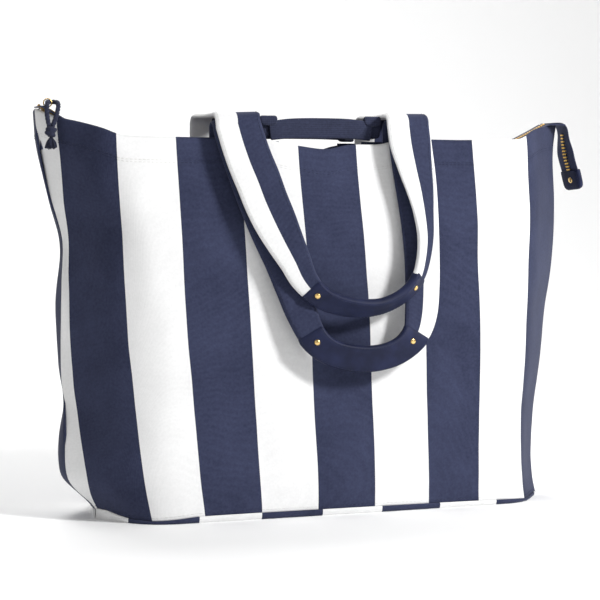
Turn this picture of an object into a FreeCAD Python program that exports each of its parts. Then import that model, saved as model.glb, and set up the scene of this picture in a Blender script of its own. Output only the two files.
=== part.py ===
import FreeCAD, Part
import math
import os
import Sketcher

# A soft canvas weekender bag with a zip top, two shoulder handles and two grab handles.
# Frame: X along the bag's width, its front towards -Y, Z up, origin at the centre of the base.
# The bag stands closed: both shoulder handles hang over the front, the zip slider is parked on
# the left end and the zip's tail hangs over the right end.

V = FreeCAD.Vector
doc = FreeCAD.newDocument("weekender_bag")

# ---------------------------------------------------------------- driving dimensions, mm
DIMENSIONS = [
    ("seam_low", 248, "half width between the side seams at the floor"),
    ("seam_middle", 270, "half width between the side seams at half height"),
    ("seam_high", 291, "half width between the side seams at the peaks"),
    ("depth_low", 88, "half depth at the floor"),
    ("depth_middle", 79, "half depth at half height"),
    ("depth_high", 37, "half depth at the level of the peaks"),
    ("flat_low", 180, "half length of the flat front before its corner, at the floor"),
    ("flat_middle", 186, "the same at half height"),
    ("flat_high", 205, "the same at the level of the peaks"),
    ("corner_low", 58, "plan radius of the soft corners at the floor"),
    ("corner_middle", 50, "the same at half height"),
    ("corner_high", 26, "the same at the level of the peaks"),
    ("level_middle", 190, "height of the middle section"),
    ("level_high", 412, "height of the left peak and of the top section"),
    ("peak_right", 401, "height of the right peak"),
    ("hem_level", 385, "height of the top hem between the corners"),
    ("hem_corner", 228, "half length of the level part of the hem"),
    ("hem_middle", 380, "height of the hem beside the grab handle"),
    ("hem_sag", 373, "height of the hem at its centre"),
    ("sag_width", 62, "half length of the sagging middle of the hem"),
    ("canvas", 2, "thickness of the canvas with its backing"),
    ("cloth", 1, "thickness of the lining, the facings and the zip's cloth"),
    ("gap", 0.4, "air between layers"),
    ("board", 3, "thickness of the base stiffener"),
    ("board_inset", 8, "how far the stiffener stays inside the base"),
    ("facing_drop", 42, "height of the facing inside the hem"),
    ("zip_radius", 560, "radius of the closed zip, which sags between the two peaks"),
    ("zip_centre", 4, "place along the bag of the centre of that radius"),
    ("zip_centre_level", 893.7, "height of the centre of that radius"),
    ("zip_left", -287, "left end of the sagging stretch, where the tape lies on the peak"),
    ("zip_right", 272, "right end of the sagging stretch"),
    ("gusset_end", 203, "half length of the cloth strips beside the zip"),
    ("gusset_width", 30, "width of the cloth strips beside the zip"),
    ("gusset_lap", 3, "how far those strips lie under the zip's tapes"),
    ("gusset_under", 0.2, "air between those strips and the tapes"),
    ("zip_width", 30, "full width of the closed zip's two tapes"),
    ("tape", 1, "thickness of a zip tape"),
    ("row_width", 2.6, "width of one row of zip teeth"),
    ("row_height", 2.6, "height of a row of zip teeth"),
    ("row_gap", 1.2, "slit between the two rows, where the slider's wedge runs"),
    ("slider_length", 13, "length of the zip slider"),
    ("slider_width", 10, "width of the zip slider"),
    ("slider_plate", 1.2, "thickness of the slider's plates"),
    ("slider_play", 0.2, "air between the slider and the teeth"),
    ("slider_wedge", 4, "length of the slider's wedge behind its middle"),
    ("slider_start", -279.5, "place of the slider with the bag closed"),
    ("ring_radius", 4.2, "mean radius of the pull ring"),
    ("ring_wire", 1.4, "wire of the pull ring"),
    ("lug_along", -6, "place of the ring's lug along the slider"),
    ("lug_out", 6.5, "distance of the lug's hole out of the slider's middle"),
    ("lug_up", 2.6, "height of the lug's hole above the zip's line"),
    ("lug_wall", 2, "height of the lug over its hole"),
    ("lug_thick", 1, "thickness of the lug along the slider"),
    ("rope", 5, "diameter of the pull's rope"),
    ("knot_high", 6, "half height of the knot"),
    ("knot_across", 5.5, "half width and half depth of the knot"),
    ("tuft_foot", 6, "radius of the tuft's foot"),
    ("tuft_neck", 3.5, "radius of the tuft under the knot"),
    ("tuft_height", 13, "height of the tuft"),
    ("tuft_gap", 0.2, "air between the knot and the tuft"),
    ("tail_gap", 1.5, "air between the side seam and the tail's fold"),
    ("tail_drop", 50, "hanging length of the zip's tail under its fold"),
    ("tail_radius", 7, "mean radius of the tail's fold over the peak"),
    ("tail_lean", 12, "angle of the hanging tail from upright, in degrees"),
    ("tail_row", 2, "height of the tail's teeth over its tape"),
    ("tail_row_width", 5.6, "width of both rows of the tail's teeth"),
    ("tab_height", 20, "height of the end tab"),
    ("tab_width", 18, "width of the end tab at its foot"),
    ("tab_head", 34, "width of the end tab at its head"),
    ("tab_thick", 5, "thickness of the end tab"),
    ("tab_cover", 8, "length of the tail that the end tab covers"),
    ("tab_rivet", 6, "from the tail's end to the end tab's rivet"),
    ("strap", 45, "width of a shoulder strap"),
    ("strap_thick", 4, "thickness of a shoulder strap"),
    ("strap_side", 96, "distance of the strap's centre from the bag's centre at the hem"),
    ("hang_slope", 12, "angle of the hanging handles from upright, in degrees"),
    ("front_axis_out", 46, "distance of the front handle's fold from the centre plane"),
    ("front_axis_level", 395, "height of the front handle's fold"),
    ("front_fold", 8, "mean radius of the front handle's fold"),
    ("back_axis_out", 55, "distance of the back handle's front fold from the centre plane"),
    ("back_axis_level", 399, "height of the back handle's front fold"),
    ("back_fold", 10, "mean radius of the back handle's folds"),
    ("back_root_out", 38, "distance of the back handle's sewn ends from the centre plane"),
    ("root_depth", 40, "length of a strap end sewn inside the hem"),
    ("front_drop", 250, "length of the front handle below its fold"),
    ("back_drop", 197, "length of the back handle below its fold"),
    ("front_grip_left", -45, "left end of the front handle's folded grip"),
    ("front_grip_right", 99, "right end of the front handle's folded grip"),
    ("back_grip_left", -46, "left end of the back handle's folded grip"),
    ("back_grip_right", 102, "right end of the back handle's folded grip"),
    ("grip_height", 24, "height of the folded strap in the grip"),
    ("wrap", 2.2, "thickness of the grip's wrap"),
    ("wrap_gap", 0.3, "air between the wrap and the strap"),
    ("grip_corner", 4, "how far a grip's upper outer corner stands beside and under it"),
    ("grip_slant", 6, "how far a grip's lower corner stands inside its end"),
    ("grip_throat", 13, "how far the loop's opening stands inside the grip's end"),
    ("grip_start", 15, "from a folded grip's end to its sleeve"),
    ("grip_rivet", 22, "from a folded grip's end to its rivet"),
    ("rivet_cap", 3.2, "radius of a rivet's cap"),
    ("rivet_shank", 1.5, "radius of a rivet's shank"),
    ("rivet_dome", 1.4, "height of a rivet's cap"),
    ("rivet_washer", 0.6, "thickness of the washer behind a rivet"),
    ("rivet_play", 0.1, "air around a rivet's shank"),
    ("fold_gap", 0.5, "air between a strap's fold and the straight strap"),
    ("root_gap", 1, "air between a strap's fold and its sewn end"),
    ("webbing", 25, "width of the grab handles' webbing"),
    ("webbing_thick", 2, "thickness of the webbing"),
    ("grab_span", 58, "half length of a grab handle"),
    ("grab_rise", 22, "how far a grab handle's top stands above its hinge line"),
    ("grab_axis", 383, "height of the grab handles' hinge line"),
    ("grab_out", 39, "distance of the grab handles' hinge lines from the centre plane"),
    ("grab_gap", 0.3, "air between a grab handle and its hinge line"),
    ("grab_root_gap", 1.5, "from the hinge line down to a grab handle's sewn end"),
    ("grab_root", 30, "length of a grab handle's sewn end"),
    ("grab_lean", 58, "angle that the rear grab handle has drooped back, in degrees"),
]

sheet = doc.addObject("Spreadsheet::Sheet", "dims")
for row, (alias, size, note) in enumerate(DIMENSIONS, start=1):
    sheet.set(f"A{row}", str(size))
    sheet.setAlias(f"A{row}", alias)
    sheet.set(f"B{row}", note)
doc.recompute()


def bound(text):
    """An expression on the sheet, from one written with bare aliases."""
    for alias in sorted((name for name, _, _ in DIMENSIONS), key=len, reverse=True):
        text = " ".join(f"dims.{alias}" if word == alias else word for word in text.split(" "))
    return text


def value(text):
    return float(sheet.evalExpression(bound(text)))


# ---------------------------------------------------------------- helpers for bodies and sketches
def new_body(label):
    body = doc.addObject("PartDesign::Body", label)
    body.Label = label
    return body


def plane_of(body, role):
    return next(item for item in body.Origin.OriginFeatures if item.Role == role)


def new_sketch(body, role, level="0"):
    """An empty sketch on one of the body's origin planes, lifted off it by level."""
    sketch = body.newObject("Sketcher::SketchObject", body.Label + "_sketch")
    sketch.AttachmentSupport = [(plane_of(body, role), "")]
    sketch.MapMode = "FlatFace"
    if level != "0":
        sketch.AttachmentOffset = FreeCAD.Placement(V(0, 0, value(level)), FreeCAD.Rotation())
        sketch.setExpression("AttachmentOffset.Base.z", bound(level))
    return sketch


def pin(sketch, geometry, end, across, up):
    """Fixes a point of the sketch at (across, up), both expressions on the sheet."""
    for kind, text in (("DistanceX", across), ("DistanceY", up)):
        number = sketch.addConstraint(
            Sketcher.Constraint(kind, -1, 1, geometry, end, value(text))
        )
        sketch.setExpression(f"Constraints[{number}]", bound(text))


def polygon(body, role, corners, level="0"):
    """A closed polygon whose corners are pairs of expressions on the sheet."""
    sketch = new_sketch(body, role, level)
    points = [V(value(across), value(up), 0) for across, up in corners]
    count = len(points)
    for k in range(count):
        sketch.addGeometry(Part.LineSegment(points[k], points[(k + 1) % count]), False)
    for k in range(count):
        sketch.addConstraint(Sketcher.Constraint("Coincident", k, 2, (k + 1) % count, 1))
    for k, (across, up) in enumerate(corners):
        pin(sketch, k, 1, across, up)
    return sketch


def rectangle(body, role, across_a, up_a, across_b, up_b, level="0"):
    corners = [(across_a, up_a), (across_b, up_a), (across_b, up_b), (across_a, up_b)]
    return polygon(body, role, corners, level)


def circle(body, role, across, up, radius, level="0"):
    sketch = new_sketch(body, role, level)
    sketch.addGeometry(Part.Circle(V(value(across), value(up), 0), V(0, 0, 1), value(radius)))
    pin(sketch, 0, 3, across, up)
    number = sketch.addConstraint(Sketcher.Constraint("Radius", 0, value(radius)))
    sketch.setExpression(f"Constraints[{number}]", bound(radius))
    return sketch


def pad(body, sketch, length, middle=False, back=False):
    """A pad along the sketch's normal, or half to each side of it, or against it."""
    feature = body.newObject("PartDesign::Pad", body.Label + "_pad")
    feature.Profile = sketch
    feature.Length = value(length)
    feature.setExpression("Length", bound(length))
    feature.Midplane = middle
    feature.Reversed = back
    sketch.Visibility = False
    return feature


def pocket(body, sketch, back=False, middle=False):
    """A cut through everything on one side of the sketch, or on both."""
    feature = body.newObject("PartDesign::Pocket", body.Label + "_pocket")
    feature.Profile = sketch
    feature.Type = "ThroughAll"
    feature.Reversed = back
    feature.Midplane = middle
    return feature


def place(body, x=0.0, y=0.0, z=0.0, axis=V(1, 0, 0), angle=0.0):
    body.Placement = FreeCAD.Placement(V(x, y, z), FreeCAD.Rotation(axis, angle))


# ---------------------------------------------------------------- the bag's plan outline
def tangent_corner(flat, depth, seam, radius):
    """Centre and end angle of the front right corner's arc, which leaves the flat front at
    (flat, -depth) and runs on to the straight side that ends in the seam at (seam, 0)."""
    centre = V(flat, radius - depth, 0)
    away = V(seam, 0, 0) - centre
    return centre, math.atan2(away.y, away.x) - math.acos(radius / away.Length)


def plan_outline(body, height, inset="0", level=None):
    """The bag's plan outline at one height: flat front and back, soft corners and straight
    sides that meet in the two side seams. height is low, middle or high, and inset is how
    far the outline stays inside the outer one."""
    flat = f"flat_{height}"
    depth = f"depth_{height} - {inset}"
    seam = f"seam_{height} - {inset}"
    radius = f"corner_{height} - {inset} / 2"
    sketch = new_sketch(body, "XY_Plane", level)
    a, d, w, r = value(flat), value(depth), value(seam), value(radius)
    centre, end = tangent_corner(a, d, w, r)
    touch = centre + V(math.cos(end), math.sin(end), 0) * r
    start = -math.pi / 2

    def arc(sign_x, sign_y):
        """The corner's arc in one quarter, always anticlockwise."""
        first, last = start, end
        if sign_x < 0:
            first, last = math.pi - last, math.pi - first
        if sign_y > 0:
            first, last = -last, -first
        middle = V(sign_x * centre.x, -sign_y * centre.y, 0)
        return Part.ArcOfCircle(Part.Circle(middle, V(0, 0, 1), r), first, last)

    right, left = V(w, 0, 0), V(-w, 0, 0)
    chain = [
        Part.LineSegment(V(-a, -d, 0), V(a, -d, 0)),
        arc(1, -1),
        Part.LineSegment(touch, right),
        Part.LineSegment(right, V(touch.x, -touch.y, 0)),
        arc(1, 1),
        Part.LineSegment(V(a, d, 0), V(-a, d, 0)),
        arc(-1, 1),
        Part.LineSegment(V(-touch.x, -touch.y, 0), left),
        Part.LineSegment(left, V(-touch.x, touch.y, 0)),
        arc(-1, -1),
    ]
    for piece in chain:
        sketch.addGeometry(piece, False)
    for k in range(len(chain)):
        follows = (k + 1) % len(chain)
        kind = "Coincident" if k in (2, 7) else "Tangent"
        sketch.addConstraint(Sketcher.Constraint(kind, k, 2, follows, 1))
    pin(sketch, 0, 1, f"0 - {flat}", f"0 - ( {depth} )")
    pin(sketch, 0, 2, flat, f"0 - ( {depth} )")
    pin(sketch, 2, 2, seam, "0")
    pin(sketch, 5, 1, flat, depth)
    pin(sketch, 5, 2, f"0 - {flat}", depth)
    pin(sketch, 7, 2, f"0 - ( {seam} )", "0")
    number = sketch.addConstraint(Sketcher.Constraint("Radius", 1, r))
    sketch.setExpression(f"Constraints[{number}]", bound(radius))
    return sketch


def loft(body, kind, outlines):
    feature = body.newObject(kind, body.Label + "_loft")
    feature.Profile = outlines[0]
    feature.Sections = outlines[1:]
    return feature


BEYOND = "320"  # further out than anything on the bag
ABOVE = "600"  # higher than anything on the bag
LEVELS = {"low": "canvas", "middle": "level_middle", "high": "level_high"}


def half_shell(label, side, inset, thickness, seam_gap, below="", above="", under_hem="0"):
    """One half of a sewn layer of the bag. side is -1 for the front half and 1 for the back
    half. below and above are the levels that it is cut off at, if not the floor and the hem."""
    body = new_body(label)
    outer = [plan_outline(body, at, inset, LEVELS[at]) for at in LEVELS]
    loft(body, "PartDesign::AdditiveLoft", outer)
    inner_inset = f"( {inset} + {thickness} )"
    inner = [plan_outline(body, at, inner_inset, LEVELS[at]) for at in LEVELS]
    loft(body, "PartDesign::SubtractiveLoft", inner)
    # the hem is level between the corners and climbs to a peak over each side seam
    climb = f"* ( {BEYOND} - hem_corner ) / ( seam_high - hem_corner )"
    hem = [
        (f"0 - {BEYOND}", f"hem_level + ( level_high - hem_level ) {climb}"),
        ("0 - hem_corner", "hem_level"),
        ("0 - sag_width", "hem_middle"),
        ("0", "hem_sag"),
        ("sag_width", "hem_middle"),
        ("hem_corner", "hem_level"),
        (BEYOND, f"hem_level + ( peak_right - hem_level ) {climb}"),
    ]
    over_hem = [(across, f"{up} - {under_hem}") for across, up in hem]
    over_hem += [(BEYOND, ABOVE), (f"0 - {BEYOND}", ABOVE)]
    pocket(body, polygon(body, "XZ_Plane", over_hem), middle=True)
    other_half = rectangle(body, "XY_Plane", f"0 - {BEYOND}", f"{side} * {seam_gap}", BEYOND,
                           f"{-side} * {BEYOND}")
    pocket(body, other_half, middle=True)
    if below:
        under = rectangle(body, "XZ_Plane", f"0 - {BEYOND}", f"0 - {BEYOND}", BEYOND, below)
        pocket(body, under, middle=True)
    if above:
        over = rectangle(body, "XZ_Plane", f"0 - {BEYOND}", above, BEYOND, ABOVE)
        pocket(body, over, middle=True)
    return body


# ---------------------------------------------------------------- shell, lining and base
SIDES = (("front", -1), ("back", 1))
LINING_IN = "( canvas + gap )"
FLOOR_TOP = "( canvas + gap + board + gap + cloth )"
FACING_LOW = "( hem_level - facing_drop )"

for word, side in SIDES:
    half_shell(f"{word}_panel", side, "0", "canvas", "0.2")
    half_shell(f"{word}_lining", side, LINING_IN, "cloth", "2", below=FLOOR_TOP,
               above=f"{FACING_LOW} - gap")
    half_shell(f"{word}_facing", side, LINING_IN, "cloth", "2", below=FACING_LOW, under_hem="1.5")


def floor_layer(label, inset, level, thickness):
    """A flat layer of the bag's floor, in the outline of the shell's lowest section."""
    body = new_body(label)
    pad(body, plan_outline(body, "low", inset, level), thickness)
    return body


floor_layer("base_panel", "0", "0", "canvas")
floor_layer("base_board", "board_inset", "canvas + gap", "board")
floor_layer("base_lining", LINING_IN, "canvas + gap + board + gap", "cloth")

for word, sign in (("left", -1), ("right", 1)):
    # the tape that binds the side seam's raw edges, between the two halves of the lining
    peak = "level_high" if sign < 0 else "peak_right"
    binding = new_body(f"{word}_seam_binding")
    edge = [
        (f"{sign} * ( seam_low - 7 )", FLOOR_TOP),
        (f"{sign} * ( seam_middle - 7 )", "level_middle"),
        (f"{sign} * ( seam_high - 10 )", f"{peak} - 20"),
        (f"{sign} * ( seam_high - 18 )", f"{peak} - 20"),
        (f"{sign} * ( seam_middle - 15 )", "level_middle"),
        (f"{sign} * ( seam_low - 15 )", FLOOR_TOP),
    ]
    pad(binding, polygon(binding, "XZ_Plane", edge), "3", middle=True)


# ---------------------------------------------------------------- zip
def zip_band(body, low, high, left, right, landings=False):
    """The side view of a strip that follows the closed zip's sag, from left to right. low and
    high are its faces above the zip's own line. With landings it runs on level, at both ends,
    to the side seams."""
    sketch = new_sketch(body, "XZ_Plane")
    centre = V(value("zip_centre"), value("zip_centre_level"), 0)
    ends = []
    for number, height in enumerate((low, high)):
        radius = value(f"zip_radius - ( {height} )")
        angles = [-math.pi / 2 + math.asin((value(end) - centre.x) / radius) for end in (left, right)]
        circle_line = Part.Circle(centre, V(0, 0, 1), radius)
        sketch.addGeometry(Part.ArcOfCircle(circle_line, *angles), False)
        pin(sketch, number, 3, "zip_centre", "zip_centre_level")
        size = sketch.addConstraint(Sketcher.Constraint("Radius", number, radius))
        sketch.setExpression(f"Constraints[{size}]", bound(f"zip_radius - ( {height} )"))
        for point, end in ((1, left), (2, right)):
            place_of = sketch.addConstraint(
                Sketcher.Constraint("DistanceX", -1, 1, number, point, value(end)))
            sketch.setExpression(f"Constraints[{place_of}]", bound(end))
        ends.append([centre + V(math.cos(a), math.sin(a), 0) * radius for a in angles])
    for point, side in ((1, -1), (2, 1)):
        below, above = ends[0][point - 1], ends[1][point - 1]
        if not landings:
            number = sketch.addGeometry(Part.LineSegment(below, above), False)
            sketch.addConstraint(Sketcher.Constraint("Coincident", number, 1, 0, point))
            sketch.addConstraint(Sketcher.Constraint("Coincident", number, 2, 1, point))
            continue
        outer = value(f"{side} * seam_high")
        first = sketch.addGeometry(Part.LineSegment(below, V(outer, below.y, 0)), False)
        riser = sketch.addGeometry(Part.LineSegment(V(outer, below.y, 0), V(outer, above.y, 0)), False)
        last = sketch.addGeometry(Part.LineSegment(V(outer, above.y, 0), above), False)
        sketch.addConstraint(Sketcher.Constraint("Coincident", first, 1, 0, point))
        sketch.addConstraint(Sketcher.Constraint("Coincident", first, 2, riser, 1))
        sketch.addConstraint(Sketcher.Constraint("Coincident", riser, 2, last, 1))
        sketch.addConstraint(Sketcher.Constraint("Coincident", last, 2, 1, point))
        sketch.addConstraint(Sketcher.Constraint("Horizontal", first))
        sketch.addConstraint(Sketcher.Constraint("Vertical", riser))
        sketch.addConstraint(Sketcher.Constraint("Horizontal", last))
        edge = sketch.addConstraint(Sketcher.Constraint("DistanceX", -1, 1, first, 2, outer))
        sketch.setExpression(f"Constraints[{edge}]", bound(f"{side} * seam_high"))
    return sketch


def zip_strip(label, side, low, high, inner, width, left="zip_left", right="zip_right",
              landings=True):
    """A strip along the zip. inner is the distance of its inner edge from the zip's middle."""
    body = new_body(label)
    sketch = zip_band(body, low, high, left, right, landings)
    pad(body, sketch, width, back=side > 0)
    place(body, y=side * value(inner))
    body.setExpression("Placement.Base.y", bound(f"{side} * ( {inner} )"))
    return body


ROW_LOW, ROW_HIGH = "( tape - row_height ) / 2", "( tape + row_height ) / 2"
for word, side in SIDES:
    zip_strip(f"{word}_zip_teeth", side, ROW_LOW, ROW_HIGH, "row_gap / 2", "row_width")
    zip_strip(f"{word}_zip_tape", side, "0", "tape", "row_gap / 2 + row_width",
              "zip_width / 2 - row_gap / 2 - row_width")
    zip_strip(f"{word}_zip_gusset", side, "0 - cloth - gusset_under", "0 - gusset_under",
              "zip_width / 2 - gusset_lap", "gusset_width", "0 - gusset_end", "gusset_end",
              landings=False)


def zip_slider():
    """Two plates above and below the teeth, joined by the wedge that runs in the slit between
    the rows, with an upright lug on the front edge for the pull ring."""
    body = new_body("zip_slider")
    half = "slider_length / 2"
    low = f"{ROW_LOW} - slider_play"
    high = f"{ROW_HIGH} + slider_play"
    lug_foot = "0 - slider_width / 2"
    lower = rectangle(body, "XZ_Plane", f"0 - {half}", f"{low} - slider_plate", half, low)
    pad(body, lower, "slider_width", middle=True)
    wedge = rectangle(body, "XZ_Plane", "0 - slider_wedge", f"{low} - slider_plate", half,
                      f"{high} + slider_plate")
    pad(body, wedge, "row_gap - 2 * slider_play", middle=True)
    upper = rectangle(body, "XZ_Plane", f"0 - {half}", high, half, f"{high} + slider_plate")
    pad(body, upper, "slider_width", middle=True)
    # the lug is a thin upright plate on the front edge, with its hole along the zip
    plate = polygon(body, "YZ_Plane", [
        (f"{lug_foot} + 1.5", high),
        (f"{lug_foot} + 1.5", f"{high} + slider_plate + 1"),
        ("0 - lug_out + 1", "lug_up + lug_wall"),
        ("0 - lug_out - 1", "lug_up + lug_wall"),
        ("0 - lug_out - 2", "lug_up + lug_wall - 1"),
        ("0 - lug_out - 2", "lug_up - 0.4"),
        ("0 - lug_out - 1", "lug_up - 1.4"),
        (f"{lug_foot} - 0.3", "lug_up - 1.4"),
        (f"{lug_foot} - 0.3", high),
    ], "lug_along - lug_thick / 2")
    pad(body, plate, "lug_thick")
    hole = circle(body, "YZ_Plane", "0 - lug_out", "lug_up", "ring_wire / 2 + 0.3")
    pocket(body, hole, middle=True)
    # it sits on the sagging zip's line and is tilted along it
    along = value("slider_start - zip_centre")
    tilt = math.asin(-along / value("zip_radius"))
    level = value("zip_centre_level") - value("zip_radius") * math.cos(tilt)
    place(body, value("slider_start"), 0, level, V(0, 1, 0), math.degrees(tilt))
    return body


SLIDER = zip_slider().Placement
LUG = SLIDER.multVec(V(value("lug_along"), -value("lug_out"), value("lug_up")))
RING = SLIDER.multVec(V(value("lug_along"), -value("lug_out"), value("lug_up + ring_radius")))
ring = doc.addObject("Part::Torus", "pull_ring")
ring.Label = "pull_ring"
ring.setExpression("Radius1", bound("ring_radius"))
ring.setExpression("Radius2", bound("ring_wire / 2"))
ring.Placement = FreeCAD.Placement(RING, FreeCAD.Rotation(V(1, 0, 0), 90))
print(f"lug hole {LUG}, its axis {SLIDER.Rotation.multVec(V(1, 0, 0))}, ring centre {RING}")


# ---------------------------------------------------------------- rope pull
def tube_along(points, radius):
    """A round tube along straight runs joined by tangent arcs. Each arc's radius is 0.45 of
    the shorter of its two runs, divided by the tangent of half the turn."""
    edges, start, radii = [], points[0], []
    for before, corner, after in zip(points, points[1:], points[2:]):
        arrive, leave = corner - before, after - corner
        half = arrive.getAngle(leave) / 2
        cut = 0.45 * min(arrive.Length, leave.Length)
        radii.append(cut / math.tan(half))
        arrive.normalize()
        leave.normalize()
        first, last = corner - arrive * cut, corner + leave * cut
        inward = leave - arrive
        inward.normalize()
        centre = corner + inward * (radii[-1] / math.cos(half))
        middle = centre - inward * radii[-1]
        edges += [Part.LineSegment(start, first).toShape(), Part.Arc(first, middle, last).toShape()]
        start = last
    edges.append(Part.LineSegment(start, points[-1]).toShape())
    path = Part.Wire(edges)
    profile = Part.Wire([Part.makeCircle(radius, points[0], points[1] - points[0])])
    tube = path.makePipeShell([profile], True, False, 2)
    expected = math.pi * radius ** 2 * path.Length
    print(f"tube: length {path.Length:.1f}, radii {[round(r, 1) for r in radii]}, "
          f"volume {tube.Volume:.0f} of {expected:.0f}")
    return tube


def shape_node(label, shape):
    node = doc.addObject("Part::Feature", label)
    node.Label = label
    node.Shape = shape
    return node


# The loop starts at the knot, runs up and over the tape's edge, through the ring from the
# front, round the ring's right side and back down to the knot. The points are distances from
# the ring's centre: along the bag, out of its front and up.
ROPE_ROUTE = [
    (-1.2, 14.6, -24.0),
    (-2.8, 14.5, -17.4),
    (-3.4, 13.4, -9.4),
    (-2.4, 10.2, -2.2),
    (-0.6, 4.6, 0.4),
    (0.0, -1.8, 0.8),
    (2.5, -4.2, 1.0),
    (5.9, -4.2, 1.2),
    (8.4, -1.8, 1.0),
    (9.6, 4.0, 0.4),
    (9.4, 9.8, -2.6),
    (7.6, 13.4, -9.4),
    (5.0, 14.5, -17.4),
    (2.4, 14.6, -24.0),
]
KNOT = RING + V(0.6, -14.8, -29.8)
shape_node("pull_rope", tube_along(
    [RING + V(across, -out, up) for across, out, up in ROPE_ROUTE], value("rope / 2")))


def primitive(kind, label, centre, sizes):
    """A solid whose sizes follow the sheet."""
    item = doc.addObject(f"Part::{kind}", label)
    item.Label = label
    for name, text in sizes.items():
        setattr(item, name, value(text))
        item.setExpression(name, bound(text))
    item.Placement = FreeCAD.Placement(centre, FreeCAD.Rotation())


primitive("Ellipsoid", "pull_knot", KNOT,
          {"Radius1": "knot_high", "Radius2": "knot_across", "Radius3": "knot_across"})
primitive("Cone", "pull_tuft", KNOT - V(0, 0, value("knot_high + tuft_gap + tuft_height")),
          {"Radius1": "tuft_foot", "Radius2": "tuft_neck", "Height": "tuft_height"})


# ---------------------------------------------------------------- zip tail over the right end
TAPE_NEAR, TAPE_FAR = "tail_radius - tape / 2", "tail_radius + tape / 2"
TAIL_AXIS = V(value("seam_high + tail_gap"), 0,
              value("peak_right + cloth + tape / 2 - tail_radius"))
TAIL = FreeCAD.Placement(TAIL_AXIS, FreeCAD.Rotation(V(0, 1, 0), -value("tail_lean")))


def tail_fold():
    """The tape's bend over the peak, from level round to the hanging part's lean."""
    width, along = value("zip_width"), V(0, 1, 0)
    bend = Part.makeCylinder(value(TAPE_FAR), width, V(), along, value("90 - tail_lean"))
    bend = bend.cut(Part.makeCylinder(value(TAPE_NEAR), width, V(), along))
    bend.rotate(V(), along, -90)
    shape_node("zip_tail_fold", bend).Placement = FreeCAD.Placement(
        TAIL_AXIS - along * (width / 2), FreeCAD.Rotation())


tail_fold()


def tail_strip(label, near, far, low, high, width):
    """A flat piece of the tail, from near to far (distances out of the fold's centre) and
    from low to high (heights), as wide as the given width."""
    body = new_body(label)
    pad(body, rectangle(body, "XZ_Plane", near, low, far, high), width, middle=True)
    body.Placement = TAIL
    return body


def end_tab():
    """The cloth tab folded over the tail's end, narrowing to its foot, with its rivet hole."""
    head, foot = "0 - tail_drop + tab_cover", "0 - tail_drop + tab_cover - tab_height"
    tab = tail_strip("zip_end_tab", "tail_radius - tab_thick / 2", "tail_radius + tab_thick / 2",
                     foot, head, "tab_head")
    slot = rectangle(tab, "XZ_Plane", f"{TAPE_NEAR} - 0.05", "0 - tail_drop - 0.1",
                     f"{TAPE_FAR} + 0.05", f"{head} + 1")
    pocket(tab, slot, middle=True)
    for sign in (-1, 1):
        trim = polygon(tab, "YZ_Plane", [
            (f"{sign} * ( tab_head / 2 )", head),
            (f"{sign} * tab_width / 2", foot),
            (f"{sign} * tab_head", foot),
            (f"{sign} * tab_head", head),
        ])
        pocket(tab, trim, middle=True)
    eye = circle(tab, "YZ_Plane", "0", "0 - tail_drop - tab_rivet", "rivet_shank + rivet_play")
    pocket(tab, eye, middle=True)


tail_strip("zip_tail_tape", TAPE_NEAR, TAPE_FAR, "0 - tail_drop", "0", "zip_width")
tail_strip("zip_tail_teeth", f"{TAPE_NEAR} - tail_row", TAPE_NEAR,
           "0 - tail_drop + tab_cover", "-1", "tail_row_width")
end_tab()


# ---------------------------------------------------------------- rivets
def drill(body, places):
    """Clearance holes for rivets, along the body's own Y."""
    for across, up in places:
        eye = circle(body, "XZ_Plane", across, up, "rivet_shank + rivet_play")
        pocket(body, eye, middle=True)


def rivet(label, half_grip, places, base):
    """Rivets through a stack 2 * half_grip thick along Y. places are the (across, up) points
    in the frame that base gives."""
    parts = []
    radius, dome, through = value("rivet_cap"), value("rivet_dome"), V(0, 1, 0)
    shank_end = half_grip + dome / 2
    for across, up in places:
        shank = Part.makeCylinder(value("rivet_shank"), 2 * shank_end, V(across, -shank_end, up), through)
        cap = Part.makeCone(radius, 0.55 * radius, dome, V(across, -half_grip, up), -through)
        washer = Part.makeCylinder(radius, value("rivet_washer"), V(across, half_grip, up), through)
        parts.append(shank.fuse([cap, washer]).removeSplitter())
    node = shape_node(label, Part.Compound(parts) if len(parts) > 1 else parts[0])
    node.Placement = base
    return node


TAB_RIVET = FreeCAD.Placement(V(value("tail_radius"), 0, -value("tail_drop + tab_rivet")),
                              FreeCAD.Rotation(V(0, 0, 1), 90))
rivet("zip_tab_rivet", value("tab_thick / 2"), [(0, 0)], TAIL.multiply(TAB_RIVET))


# ---------------------------------------------------------------- shoulder handles
def handle_outline(word):
    """The hanging loop, flat: two legs from the fold and the folded strap between them in the
    grip. The legs swing to the right on their way down."""
    low, high = f"0 - {word}_drop", f"0 - {word}_drop + grip_height"
    grip_left, grip_right = f"{word}_grip_left", f"{word}_grip_right"
    half, top = "strap / 2", "0 - fold_gap"
    return [
        (f"0 - strap_side - {half}", top),
        (f"{grip_left} - grip_corner", f"{high} - grip_corner"),
        (f"{grip_left} + grip_slant", low),
        (f"{grip_right} - grip_slant", low),
        (f"{grip_right} + grip_corner", f"{high} - grip_corner"),
        (f"strap_side + {half}", top),
        (f"strap_side - {half}", top),
        (f"{grip_right} - grip_throat", high),
        (f"{grip_left} + grip_throat", high),
        (f"0 - strap_side + {half}", top),
    ]


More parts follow.
